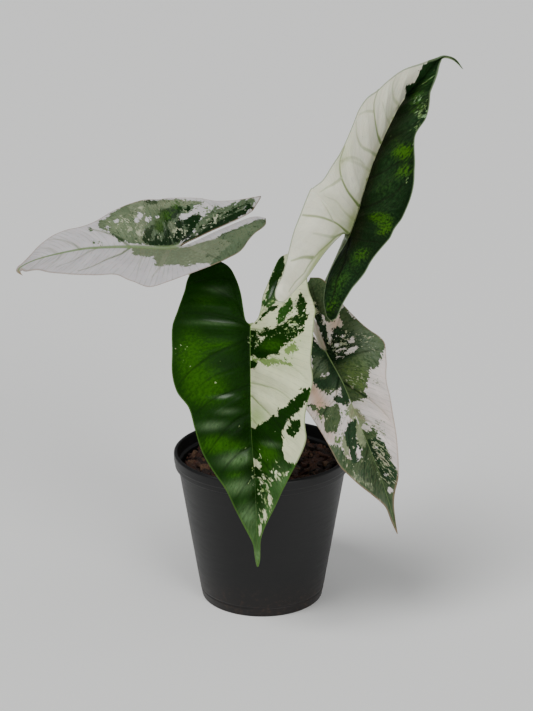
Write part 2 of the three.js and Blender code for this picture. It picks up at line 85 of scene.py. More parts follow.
# %% [markdown]
# ## Small tools for surfaces
#
# Every piece below is a surface worked out with numpy. A whole grid of points is computed at
# once, then neighbouring points are joined by quads. Small tools do the joining: they make the
# quads of a grid, a ring or a shape that is closed at two poles, drop the corners that fall
# together at a pole or a tip, number the points of several grids as one list, and put points,
# faces and per-point values into a Blender mesh.

# %% Tools for meshes
def grid_quads(index):
    """The quads between neighbouring rows and columns of a grid of point numbers."""
    low, high = index[:-1], index[1:]
    return np.stack([low[:, :-1], low[:, 1:], high[:, 1:], high[:, :-1]], axis=-1).reshape(-1, 4)


def ring_quads(index):
    """As grid_quads, for a grid whose last column is next to its first."""
    return grid_quads(np.concatenate([index, index[:, :1]], axis=1))


def globe_quads(rows, columns):
    """The quads of a stack of rings whose first and last rings are one point each."""
    index = np.arange(rows * columns).reshape(rows, columns)
    index[0], index[-1] = index[0, 0], index[-1, 0]
    return ring_quads(index)


def turned_over(quads, turn=True):
    """The same quads, facing the other way if turn is true."""
    return quads[:, ::-1] if turn else quads


def whole_faces(quads):
    """Splits quads into true quads and triangles: a corner that repeats its neighbour is dropped."""
    repeated = quads == np.roll(quads, -1, axis=1)
    count = repeated.sum(axis=1)
    once = quads[count == 1]
    return quads[count == 0], once[~repeated[count == 1]].reshape(-1, 3)


def number_grids(grids):
    """The points of several grids as one list, and for each grid the numbers of its points."""
    sizes = [grid.shape[0] * grid.shape[1] for grid in grids]
    starts = np.cumsum([0] + sizes[:-1])
    numbers = [(start + np.arange(size)).reshape(grid.shape[:2])
               for start, size, grid in zip(starts, sizes, grids)]
    return np.concatenate([grid.reshape(-1, 3) for grid in grids]), numbers


def make_piece(name, points, faces, values=None, crease=None):
    """A mesh object from points in millimetres. values maps an attribute's name to one number or
    one vector for each point. Edges sharper than crease degrees stay sharp in the shading."""
    used = np.unique(np.concatenate([part.ravel() for part in faces]))
    number = np.full(len(points), -1)
    number[used] = np.arange(len(used))
    mesh = bpy.data.meshes.new(name)
    mesh.from_pydata((points[used] * MM).tolist(), [],
                     [face for part in faces for face in number[part].tolist()])
    for title, data in (values or {}).items():
        flat = np.asarray(data, np.float32)[used]
        kind, key = ("FLOAT", "value") if flat.ndim == 1 else ("FLOAT_VECTOR", "vector")
        mesh.attributes.new(title, kind, "POINT").data.foreach_set(key, flat.ravel())
    mesh.shade_smooth()
    if crease is not None:
        mesh.set_sharp_from_angle(angle=np.radians(crease))
    mesh.calc_loop_triangles()
    print(f"{name}: {len(used)} points, {len(mesh.loop_triangles)} triangles")
    return new_object(name, mesh)


def fit_in(piece, node, material):
    """The piece stands for the CAD node, takes the slot's finish and moves with the object."""
    piece.data.materials.append(material)
    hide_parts(node)
    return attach(piece, "root")


# %% Steps, curves and rings
def smooth(low, high, x):
    """0 below low, 1 above high, and an S-shaped step between them. low may be the higher one."""
    t = np.clip((np.asarray(x, float) - low) / (high - low), 0, 1)
    return t * t * (3 - 2 * t)


def bell(distance, reach):
    """1 at distance 0, falling off as a bell curve whose half width is about reach."""
    return np.exp(-((distance / reach) ** 2))


def unit(vectors):
    """The same directions with length 1."""
    return vectors / np.linalg.norm(vectors, axis=-1, keepdims=True)


def distances(points):
    """How far along a broken line each of its points lies."""
    return np.concatenate([[0], np.cumsum(np.linalg.norm(np.diff(points, axis=0), axis=1))])


def cubic(u, span, start, start_slope, end, end_slope):
    """A cubic from start to end while u goes from 0 to 1 over a span, with these slopes there."""
    return ((2 * u**3 - 3 * u**2 + 1) * start + (u**3 - 2 * u**2 + u) * span * start_slope
            + (3 * u**2 - 2 * u**3) * end + (u**3 - u**2) * span * end_slope)


def spline(knots, values, q):
    """A cubic through values at knots, at every q. The slope at a knot is the slope of the line
    through its two neighbours, and the curve runs straight on past its ends."""
    knots = np.asarray(knots, float)
    values = np.asarray(values, float).reshape(len(knots), -1)
    order = np.arange(len(knots))
    before, after = np.maximum(order - 1, 0), np.minimum(order + 1, len(knots) - 1)
    slope = (values[after] - values[before]) / (knots[after] - knots[before])[:, None]
    q = np.asarray(q, float)
    i = np.clip(np.searchsorted(knots, q, side="right") - 1, 0, len(knots) - 2)
    span = (knots[i + 1] - knots[i])[..., None]
    t = (q - knots[i])[..., None] / span
    u = np.clip(t, 0, 1)
    return (cubic(u, span, values[i], slope[i], values[i + 1], slope[i + 1])
            + (t - u) * span * np.where(t < 0, slope[i], slope[i + 1]))


def held(table, y):
    """What a table of (y, value, ...) gives at every y, held at its two ends."""
    table = np.asarray(table, float)
    found = spline(table[:, 0], table[:, 1:], np.clip(y, table[0, 0], table[-1, 0]))
    return found[..., 0] if table.shape[1] == 2 else found


def ring_angles(count):
    """One row of evenly spaced angles, once round."""
    return np.linspace(0, 2 * np.pi, count, endpoint=False)[None]


def turned(r, angle, z):
    """Points at radius r and height z, turned round the upright axis: (r cos, r sin, z)."""
    return np.stack([r * np.cos(angle), r * np.sin(angle), z + 0 * angle], axis=-1)


# %% [markdown]
# ## The blades, drawn flat
#
# A blade of this plant is an arrowhead: two lobes behind the stalk, a long drip tip in front, and
# a midrib with side veins that sweep towards the tip. It is easiest to draw flat first. y runs
# along the midrib, 0 where the stalk meets it, and a is the distance out from the midrib. Then
# the flat drawing is bent along the midrib's line in space, folded up at the midrib and curled.
#
# Each table gives (y, value) pairs: the midrib's line and facing, and for each half its fold, its
# curl, its inner edge beside the sinus, its margin, and its side veins as (y at the midrib, y at
# the margin). knot is the midrib's point over the stalk. quilt and ripple are heights, wave is
# the margin's height, length and start, and calm is the side vein near which the quilting is
# low. These are the CAD solid's own values, so that the finer blade lies on it.

# %% Leaf tables
LEAVES = {}
LEAVES["front"] = {
    "spine": [
        (-4, -18, 255), (-5, -39, 236.6), (-7, -56, 210), (-7, -66, 182), (-6.5, -74, 146), (-4, -78, 109),
        (-3, -76, 51)],
    "face": [
        (-50, -0.1, -0.7, 0.6), (-20, -0.15, -0.9, 0.3), (0, -0.22, -0.96, 0.1), (160, -0.22, -0.96, 0)],
    "knot": 2, "quilt": 1.35, "ripple": 0,
    "left": {
        "fold": [(-50, 4), (-25, 18), (0, 36), (80, 36), (160, 30)],
        "curl": [(-50, -20), (0, -26), (160, -20)],
        "sinus": [(-49, 22), (-46, 17), (-38, 13.5), (-27, 10), (-18, 7.5), (-9, 7.5), (-3, 5), (0, 0)],
        "margin": [
            (-49, 22), (-46, 28), (-38, 33), (-28, 35), (-20, 38), (-12, 43.5), (-5, 48), (8, 49.5),
            (22, 48), (34, 49), (46, 46), (56, 44), (68, 43.5), (80, 38), (92, 30), (106, 20), (122, 10.5),
            (136, 5), (146, 3.2), (153, 2), (160, 0)],
        "ribs": [
            (-49, -49), (-34, -32), (-16, -14), (0, 0), (9, 16), (22, 36), (38, 55), (56, 75), (76, 95),
            (98, 113), (124, 135), (160, 160)],
        "wave": (1.1, 44, 0.1)},
    "right": {
        "fold": [(-50, 14), (-25, 26), (0, 38), (80, 36), (160, 30)],
        "curl": [(-50, -20), (0, -26), (160, -20)],
        "sinus": [(-43, 25), (-38, 17), (-30, 12), (-20, 8), (-10, 5.5), (-3, 3.5), (0, 0)],
        "margin": [
            (-43, 25), (-39, 34), (-29, 41), (-16, 43.5), (-5, 47), (3, 50), (16, 50), (30, 50), (41, 47),
            (50, 40), (62, 36.5), (76, 32.5), (88, 27), (101, 20), (116, 14), (130, 8), (142, 3),
            (151, 1.5), (160, 0)],
        "ribs": [
            (-43, -43), (-30, -26), (-15, -12), (0, -2), (9, 15), (22, 36), (38, 56), (56, 77), (76, 95),
            (98, 113), (124, 135), (160, 160)],
        "wave": (1.2, 38, 0.55), "calm": 4.6}
}
LEAVES["left"] = {
    "spine": [
        (-4, -13, 271.5), (-27, -26, 264.5), (-54, -38, 256), (-83, -44, 257.6), (-108, -48, 257.8),
        (-121.6, -50, 256), (-140, -51, 251.6), (-150.5, -50, 246.6), (-152, -52, 244.6),
        (-149, -55, 242.4)],
    "face": [(-60, 0, -0.4, 0.9), (110, 0, -0.4, 0.9)],
    "knot": 2, "quilt": 0.6, "ripple": 0.06,
    "left": {
        "fold": [(-60, 14), (0, 18), (60, 8), (110, 4)],
        "curl": [(-60, -27), (0, -29), (110, -18)],
        "sinus": [(-60, 9.5), (-58, 4.5), (-54, 1.2), (-45, 0.2), (-20, 0.2), (-5, 0.2), (0, 0)],
        "margin": [
            (-60, 9.5), (-57, 14), (-52, 17.5), (-45, 20.5), (-38, 24.5), (-30, 30), (-20, 31),
            (-10, 32.5), (0, 34.5), (10, 38), (19, 41.5), (25, 40), (33, 36), (40, 30.5), (50, 28),
            (60, 25.5), (70, 22.5), (80, 18), (88, 11), (96, 6.5), (101, 2), (104, 1), (107.4, 0)],
        "ribs": [
            (-60, -60), (-42, -34), (-22, -18), (0, 0), (8, 14), (18, 30), (32, 50), (48, 66), (64, 80),
            (80, 92), (94, 101), (107.4, 107.4)],
        "wave": (0.9, 40, 0.3)},
    "right": {
        "fold": [(-60, 34), (0, 37), (60, 20), (110, 12)],
        "curl": [(-60, -39), (0, -41), (110, -23)],
        "sinus": [(-67.5, 9.5), (-62, 6), (-56, 2.8), (-40, 1.5), (-20, 1.4), (-5, 1.1), (0, 0)],
        "margin": [
            (-67.5, 9.5), (-62, 11), (-55, 13), (-46, 16.5), (-38, 20), (-30, 25), (-20, 31), (-10, 36),
            (0, 38), (10, 38), (20, 36.5), (30, 32), (40, 28), (50, 21.5), (58, 18), (66, 17), (76, 15),
            (84, 11.5), (92, 7), (98, 3), (103, 1), (107.4, 0)],
        "ribs": [
            (-67.5, -67.5), (-46, -40), (-24, -18), (0, 0), (8, 14), (18, 30), (32, 46), (48, 62),
            (64, 78), (80, 91), (94, 100), (107.4, 107.4)],
        "wave": (0.9, 46, 0.7)}
}
LEAVES["upright"] = {
    "spine": [
        (26, -55, 219), (40, -40, 239.6), (56, -20, 260), (69.5, 0, 297), (80, 15, 318.5), (92, 28, 338),
        (106, 38, 352), (117, 45, 362), (120.5, 44.5, 363.5), (126, 43, 362), (132, 40, 356.5)],
    "face": [
        (-60, 0.1, -0.85, 0.4), (70, 0.1, -0.85, 0.4), (140, 0.2, -0.85, 0.4), (156, 0.2, -0.85, 0.4)],
    "knot": 2, "quilt": 1.2, "ripple": 0.12,
    "left": {
        "fold": [(-60, 58), (0, 60), (138, 56), (150, 20)],
        "curl": [(-60, -19), (140, -19)],
        "sinus": [
            (-71.5, 28), (-69, 23.5), (-63, 21), (-55, 18.5), (-45, 15.2), (-35, 14), (-22, 12.8),
            (-12, 10.5), (-4, 6.5), (0, 0)],
        "margin": [
            (-71.5, 28), (-70.5, 32), (-66, 35.5), (-58, 37), (-48, 41.5), (-38, 46), (-29, 50),
            (-22, 53.5), (-14, 56), (-5, 55.5), (4, 54.5), (11, 52), (21, 46), (31, 42), (40, 39),
            (52, 39.5), (64, 40), (76, 37), (86, 31), (97, 27.5), (109, 22), (121, 13), (129, 7),
            (138, 1.6), (148, 1.1), (155.8, 0)],
        "ribs": [
            (-71.5, -71.5), (-54, -54), (-28, -38), (0, -20), (9, 10), (20, 40), (40, 62), (62, 90),
            (84, 106), (102, 120), (122, 132), (138, 140), (155.8, 155.8)],
        "wave": (1, 52, 0.2)},
    "right": {
        "fold": [(-60, 56), (0, 58), (138, 56), (150, 20)],
        "curl": [(-60, -19), (140, -19)],
        "sinus": [
            (-64.5, 27), (-63, 23), (-59, 18.5), (-52, 12.5), (-42, 7), (-30, 3), (-16, 0.8), (-5, 0.5),
            (0, 0)],
        "margin": [
            (-64.5, 27), (-62, 30), (-52, 29.5), (-40, 29), (-30, 31), (-20, 31.5), (-12, 33), (-2, 35.5),
            (6, 36), (14, 40), (25, 43), (34, 42.5), (47, 38), (60, 33), (72, 30), (86, 30), (99, 26),
            (109, 20), (122, 11), (133, 4), (139, 1.5), (148, 1.1), (155.8, 0)],
        "ribs": [
            (-64.5, -64.5), (-44, -46), (-22, -28), (0, -12), (9, 10), (20, 36), (40, 58), (62, 82),
            (84, 102), (102, 118), (122, 131), (138, 140), (155.8, 155.8)],
        "wave": (1, 40, 0.6)}
}
LEAVES["right_low"] = {
    "spine": [
        (22, -14, 222), (31, -28, 207), (41.5, -40, 187), (52, -48, 169), (63, -55, 143),
        (73.5, -60, 117.5), (82, -62, 93), (88.5, -60, 69)],
    "face": [(-45, 0.1, -0.8, 0.3), (0, 0.1, -0.95, 0.2), (60, 0.1, -0.95, 0.25), (130, 0.1, -0.95, 0.2)],
    "knot": 2, "quilt": 0.7, "ripple": 0.06,
    "left": {
        "fold": [(-45, 44), (0, 46), (130, 40)],
        "curl": [(-45, -26), (130, -26)],
        "sinus": [(-47, 14), (-45, 9), (-38, 6), (-28, 4), (-16, 2.5), (-6, 1.5), (0, 0)],
        "margin": [
            (-47, 14), (-42, 20), (-34, 23), (-26, 25), (-20, 26.5), (-9, 31.5), (3, 36.5), (13, 40.5),
            (20, 36.5), (29, 31), (40, 28.5), (52, 25), (68, 21), (80, 17), (90, 12.5), (100, 6), (108, 3),
            (120, 1.5), (130.4, 0)],
        "ribs": [
            (-47, -47), (-30, -28), (-14, -12), (0, 6), (8, 20), (20, 36), (36, 54), (54, 70), (72, 86),
            (90, 100), (110, 116), (130.4, 130.4)],
        "wave": (0.9, 42, 0.4)},
    "right": {
        "fold": [(-45, 40), (0, 40), (130, 36)],
        "curl": [(-45, -26), (130, -26)],
        "sinus": [(-45, 16), (-38, 11), (-28, 7), (-15, 4), (-5, 2), (0, 0)],
        "margin": [
            (-45, 16), (-42, 20), (-35, 26), (-25, 31), (-15, 35), (-4, 39), (8, 41), (18, 38), (28, 34),
            (38, 31.5), (48, 30), (58, 29), (68, 27), (78, 22), (88, 16.5), (98, 10), (108, 4), (120, 1.5),
            (130.4, 0)],
        "ribs": [
            (-45, -45), (-30, -28), (-14, -10), (0, 6), (8, 20), (20, 36), (36, 54), (54, 70), (72, 86),
            (90, 100), (110, 116), (130.4, 130.4)],
        "wave": (0.9, 42, 0.9)}
}
print("leaves:", list(LEAVES))

# %% [markdown]
# ## The bent sheet
#
# The real blade is a living sheet that stands up in a shallow trough on both sides of its midrib.
# It could be sculpted, or draped by a simulation, but a formula keeps it exactly on the CAD
# blade: each row of the flat drawing leaves the midrib at the fold angle and turns evenly, so it
# is an arc of a circle.

# %% Bend a flat leaf
SIDES = {-1: "left", 1: "right"}
CURL_REACH = 50
VEIN_SWEEP = 0.65


def midrib_frame(leaf, y):
    """The midrib's place at y, the way its upper face looks, and the way across it. The midrib is
    a cubic through the spine points, taken at their distances along it."""
    spine = np.array(leaf["spine"], float)
    along = distances(spine)
    along -= along[leaf["knot"]]
    run = unit(spline(along, spine, y + 0.5) - spline(along, spine, y - 0.5))
    face = held(leaf["face"], y)
    face = unit(face - run * np.sum(face * run, axis=-1, keepdims=True))
    return spline(along, spine, y), face, np.cross(run, face)


def bend(leaf, side, a, y):
    """Points at distance a from the midrib. With fold f and turn k per millimetre, a point lies
    (sin(f + ka) - sin f) / k across and (cos f - cos(f + ka)) / k up. Also the way up there."""
    half = leaf[SIDES[side]]
    place, face, across = midrib_frame(leaf, y)
    fold = np.radians(held(half["fold"], y))
    turn = np.radians(held(half["curl"], y)) / CURL_REACH
    angle = fold + turn * a
    out = (np.sin(angle) - np.sin(fold)) / turn
    rise = (np.cos(fold) - np.cos(angle)) / turn
    point = place + across * (side * out)[..., None] + face * rise[..., None]
    up = face * np.cos(angle)[..., None] - across * (side * np.sin(angle))[..., None]
    return point, up


def flat_rows(half, s, t):
    """Rows of the flat drawing. s counts the side veins and t runs from the midrib or the sinus
    edge to the margin. A row leaves the midrib square and sweeps towards the tip."""
    inner, outer = spline(np.arange(len(half["ribs"])), half["ribs"], s).T[..., None]
    start = np.where(inner < 0, held(half["sinus"], inner), 0)
    width = held(half["margin"], outer)
    a = start + (width - start) * t
    y = inner + (outer - inner) * ((1 - VEIN_SWEEP) * t + VEIN_SWEEP * t**2)
    return a, y, inner + 0 * t, width + 0 * t


# %% [markdown]
# ## Relief and thickness
#
# Between its side veins the blade bulges up like a quilt, on three of the blades with fine
# ripples along the small veins. The side veins lie in grooves on top and stand out as ridges
# below, and the midrib is a strong keel underneath. The margin is thin and waves a little. All of
# this is real shape here, because the gloss on the green half comes from these bulges.

# %% Relief and thickness
BLADE_THICKNESS = 0.8
MARGIN_THINNING = 0.5
MARGIN_WIDTH = 3
MIDRIB_KEEL = 1.6
KEEL_WIDTH = 1.9
LOBE_RIB_KEEL = 0.7
LOBE_RIB_SHARE = 0.14
LOBE_RIB_WHOLE = -14
VEIN_KEEL = 0.55
VEIN_KEEL_WIDTH = 0.9
VEIN_KEEL_ENDS = (0.85, 1)
GROOVE_DEPTH = 0.5
GROOVE_WIDTH = 1.0
GROOVE_START = 1.5
RIB_LINE_HEIGHT = 0.22
RIB_LINE_WIDTH = 0.7
BULGE_SKEW = 0.19
BULGE_GAIN = 1.15
BULGE_RISES = (0, 0.25)
BULGE_SINKS = (0.66, 1)
BULGE_LOSS = 0.85
CALM_LOSS = 0.7
CALM_REACH = 0.8
RIPPLES = 4
# The blade's width, in mm, over which each kind of relief comes in from the lobe or drip tip.
COMES_IN = {"bulge": (4, 20), "groove": (4, 12), "line": (2, 10), "keel": (1, 14)}


def rib_distance(cell):
    """Distance in mm from the nearest main rib: the midrib, or in a lobe the rib that runs down
    it a seventh of the way out from the sinus."""
    inner, t, a = cell["inner"], cell["t"], cell["a"]
    share = LOBE_RIB_SHARE * smooth(0, LOBE_RIB_WHOLE, inner)
    return np.where(inner < 0, np.abs(t - share) * cell["span"] + 0 * a, a)


def relief(leaf, half, cell):
    """Height of the upper face over the plain sheet: waves at the margin, a bulge between side
    veins that rises fast and falls slowly, ripples, grooves along the vein lines, and a thin
    raised line on the midrib."""
    t, width, s = cell["t"], cell["width"], cell["s"]
    height, length, start = half["wave"]
    wave = height * t**2 * np.sin(2 * np.pi * (cell["y"] / length + start))
    body = smooth(*BULGE_RISES, t) * (1 - BULGE_LOSS * smooth(*BULGE_SINKS, t))
    body = body * smooth(*COMES_IN["bulge"], width)
    skewed = s + BULGE_SKEW * np.sin(np.pi * s) ** 2
    calm = 1 - CALM_LOSS * bell(s - half["calm"], CALM_REACH) if "calm" in half else 1
    bulge = BULGE_GAIN * leaf["quilt"] * np.sin(np.pi * skewed) ** 2 * calm
    ripple = leaf["ripple"] * np.sin(np.pi * s * RIPPLES) ** 2
    groove = GROOVE_DEPTH * bell(cell["vein"], GROOVE_WIDTH) * smooth(0, GROOVE_START, cell["a"])
    groove = groove * smooth(*COMES_IN["groove"], width)
    line = RIB_LINE_HEIGHT * bell(cell["rib"], RIB_LINE_WIDTH) * smooth(*COMES_IN["line"], width)
    return wave + (bulge + ripple) * body - groove * cell["strength"] + line


def thickness(cell):
    """Thickness of the sheet, with the keels under the midrib, the lobe ribs and the side veins."""
    keel = MIDRIB_KEEL + (LOBE_RIB_KEEL - MIDRIB_KEEL) * smooth(0, LOBE_RIB_WHOLE, cell["inner"])
    vein = VEIN_KEEL * bell(cell["vein"], VEIN_KEEL_WIDTH) * (1 - smooth(*VEIN_KEEL_ENDS, cell["t"]))
    keels = keel * bell(cell["rib"], KEEL_WIDTH) + vein * cell["strength"]
    thin = 1 - MARGIN_THINNING * smooth(MARGIN_WIDTH, 0, cell["rim"])
    return BLADE_THICKNESS * thin + smooth(*COMES_IN["keel"], cell["width"]) * keels


# %% [markdown]
# ## Where the colours lie
#
# Half of each blade's cells can make green and half can't, so the leaf is a patchwork: cream
# where no layer is green, sage where one layer is, deep green where all are. The patches of the
# four blades are all different and none repeats, so they can't come from noise alone. Each one
# is drawn as a plain outline on the flat leaf, x across (below 0 is the left half) and y along
# the midrib. Every point of the mesh then stores its distance from the nearest outline
# of each tone, and the material makes the edges ragged, cell by cell.

# %% Patch outlines
PATCHES = {}
PATCHES["front"] = {
    "dark": [
        [(0.1, -60), (60, -60), (60, 165), (-0.1, 165), (-0.1, 140), (0.1, 120)],
        [(-28, 14), (-27, 17), (-23, 19), (-19, 18.5), (-15, 20.5), (-10, 21), (-6, 20), (-0.1, 19),
         (-0.1, 3), (-5, 3), (-10, 4.5), (-16, 3), (-21, 3), (-26, 1), (-31, -1), (-36, -4), (-45, -4),
         (-44, 0), (-43, 5), (-39, 8.5), (-35, 11), (-30, 12)],
        [(-7, 23), (-5, 27), (-0.1, 27), (-0.1, 22), (-4, 22)],
        [(-5, -1), (-10, -3), (-16, -7), (-22, -9), (-20, -11), (-15, -10), (-10, -7)],
        [(-42, -3), (-37, -3), (-34, -9), (-31, -17), (-32, -22), (-36, -16), (-40, -9)],
        [(-17, -14), (-13, -16), (-10, -27), (-12, -36), (-15, -45), (-19, -47), (-20, -38), (-18, -26)],
        [(-48, 36), (-43, 37), (-40, 41), (-35, 45), (-30, 48.5), (-26, 50), (-25, 54), (-20, 55.5),
         (-14, 59), (-8, 62), (-3, 65), (-0.1, 64), (-0.1, 84), (-3, 84), (-7, 86), (-9, 88), (-6, 90),
         (-2, 89), (-0.1, 90), (-0.1, 97), (-6, 96), (-9, 94), (-14, 97), (-18, 95), (-21, 97), (-26, 93),
         (-29, 89), (-32, 85), (-28, 82), (-27, 76), (-28, 70), (-27, 65), (-30, 60), (-35, 55), (-40, 51),
         (-44, 46), (-49, 42)],
        [(-41, 56), (-41, 61), (-39, 63.5), (-36, 66), (-36, 68), (-30, 66), (-30, 62), (-33, 60),
         (-34, 57), (-38, 55.5)],
        [(-0.1, 98), (-4, 100), (-8, 104), (-10, 112), (-8, 121), (-3, 122), (-0.1, 127)]],
    "mid": [
        [(-23, 1), (-28, 0), (-31, -7), (-30, -14), (-27, -18), (-24, -12), (-22, -5)],
        [(-9, -11), (-16, -10), (-18, -17), (-13, -23), (-9, -19)],
        [(-40, 84), (-32, 84), (-28, 90), (-24, 92), (-18, 95), (-12, 96), (-6, 97), (-0.1, 97),
         (-0.1, 165), (-8, 165), (-8, 140), (-16, 125), (-34, 100)]],
    "pale": [
        [(-35, 24), (-30, 24.5), (-22, 23.5), (-16, 25), (-9, 23), (-2, 24.5), (-1, 20), (-8, 20.5),
         (-16, 21), (-22, 20), (-29, 21.5)],
        [(-40, 16), (-36, 18), (-30, 17), (-31, 14), (-37, 12)], [(-41, 10), (-34, 11), (-38, 8)]],
    "cream": [
        [(-6, 8), (-12, 9.5), (-13, 8), (-7, 7)], [(-24, 91), (-20, 92), (-16, 90), (-20, 89)],
        [(-14, 113), (-11, 112), (-11, 108), (-13, 105), (-14, 108)],
        [(-9, 124), (-6, 124), (-5, 119), (-7, 116), (-9, 119)], [(-8, 99), (-5, 100), (-4, 98), (-6, 97)],
        [(-5, 135), (-3, 136), (-2, 130), (-4, 128)]]
}
PATCHES["left"] = {
    "pale": [
        [(-0.3, 28), (-5, 28.5), (-10, 28.5), (-12.5, 26), (-12, 16), (-16, 15.5), (-23, 15.5),
         (-24.5, 13), (-22.5, 9), (-24, 5), (-27, 1), (-27, -4), (-30, -11), (-27, -13), (-26, -17),
         (-23, -20), (-22, -26), (-19, -29), (-15, -28), (-12, -25), (-9, -24), (-7, -18), (-5, -9),
         (-2, -2), (-0.3, -1)],
        [(31, 18), (35, 14), (37, 5), (36, -6), (32, -14), (28, -22), (22, -30), (20, -28), (25, -18),
         (28, -10), (29, 0), (30, 9), (28, 15)],
        [(9.5, 1), (13, 2), (17, 1.5), (18.5, -3), (17, -6), (13, -4.5), (10, -2)],
        [(29.5, 8), (32, 9), (33.5, 2), (32, -5), (30, -2)],
        [(2, 19.5), (10, 20.5), (20, 18), (30, 20), (36, 17), (35.5, 24), (31, 29), (20, 26.5), (12, 26),
         (4, 25)]],
    "mid": [
        [(-34, -11), (-30, -10), (-24, -9), (-19, -14), (-18, -22), (-12, -22), (-9, -24.5), (-7.5, -32),
         (-7, -42), (-8, -52), (-9, -62), (-18, -60), (-28, -45), (-36, -28)],
        [(2, 22), (3, 30), (4, 36), (8, 40), (12, 43), (15, 48), (19, 48), (22, 46), (24, 42), (28, 38),
         (32, 32), (33, 27), (27, 24), (20, 24.5), (13, 23), (7, 21)],
        [(3.5, 49), (3, 52), (5, 51)], [(13, 51), (13, 53.5), (16, 53)],
        [(2, 20), (8, 21), (15, 20.5), (22, 20), (30, 22), (35, 18), (37.5, 8), (37, -4), (33, -13),
         (27, -21), (22, -24), (18, -22), (14, -25), (8, -21), (5, -12), (1.5, -2), (1, 8)],
        [(3, -10), (9, -20), (12, -28), (13, -38), (12.5, -50), (11, -62), (8, -62), (4, -44), (2, -24)],
        [(11, -28), (13, -27), (15, -34), (14.5, -38), (12, -33)],
        [(19, -22), (24, -16), (29, -14), (28, -20), (24, -26), (21, -28)]],
    "dark": [
        [(12, 13.5), (15, 14), (19.5, 13), (20, 9), (17, 6.5), (12.5, 5.5), (11, 9)],
        [(20, 9.5), (24, 10.5), (28, 8), (28.5, 0), (28, -7), (27, -14), (24, -17), (21.5, -13), (20, -9),
         (18.5, -4), (17.5, 2), (16, 4), (18, 6)],
        [(2, 18), (5, 21), (10, 21), (14, 18.5), (16, 14.5), (13, 14), (10, 16.4), (6.6, 16), (5.2, 13.4),
         (5.6, 8.6), (8, 7.4), (12.4, 7), (12, 2), (7, 2.4), (2, 2)],
        [(6, 13.4), (9, 12.6), (11, 9.6), (8, 10), (5.5, 11)],
        [(1.6, 1), (6.4, 1.2), (10.5, -2.4), (13, -5), (17, -7), (17.5, -11.4), (12, -11), (7.6, -7.4),
         (2.6, -2.6)],
        [(3, -4.4), (7, -7.8), (9.4, -12.4), (12, -11.8), (16.6, -13), (17.4, -17), (15.6, -21.8),
         (13, -24), (9.4, -21), (7, -17), (4.4, -13.4), (3.4, -8)],
        [(20, -15), (22, -13.5), (23, -16), (21.5, -18), (23, -21), (20.5, -21.5), (19, -18)],
        [(0.6, -3), (3.2, -8), (4.6, -20), (5.4, -34), (6.2, -46), (7.4, -57), (3.8, -60), (1.8, -44),
         (1, -22)],
        [(5.6, -18), (7.4, -24), (8.4, -34), (9, -46), (9.4, -57), (7.6, -54), (6.6, -38), (5.6, -26)],
        [(9, -33), (10.5, -36), (9.5, -39), (8, -36)],
        [(32, 20), (35.5, 19), (37, 12), (35, 8), (33.4, 12)]],
    "cream": [
        [(12.5, 42), (15, 43.5), (17, 42.5), (15, 41)], [(18.5, 37), (20, 37.5), (22.5, 35.4), (20, 35)],
        [(17.4, 25.6), (20, 25.4), (23, 24.4), (25.6, 22.4), (23, 22), (19, 23.2)],
        [(17.4, 19), (20, 19.4), (22, 17.6), (20.4, 16), (18.8, 16.6)],
        [(21, 13), (22.8, 12), (22.6, 9.6), (21, 10.6)],
        [(16.4, -11.6), (18.4, -10.6), (19.6, -13), (18.2, -18), (19.6, -22.4), (22, -25), (19, -27),
         (16, -24), (16.4, -18)]]
}
PATCHES["upright"] = {
    "dark": [
        [(0.8, -70), (60, -70), (60, 160), (-9, 160), (-9, 131), (-7, 127), (-10, 123), (-9.5, 118),
         (-7, 116), (-4, 112), (-5, 108), (-9.5, 104.5), (-6, 103.5), (-3, 103), (-1, 102), (0.8, 100)]],
    "mid": [],
    "pale": [],
    "cream": []
}
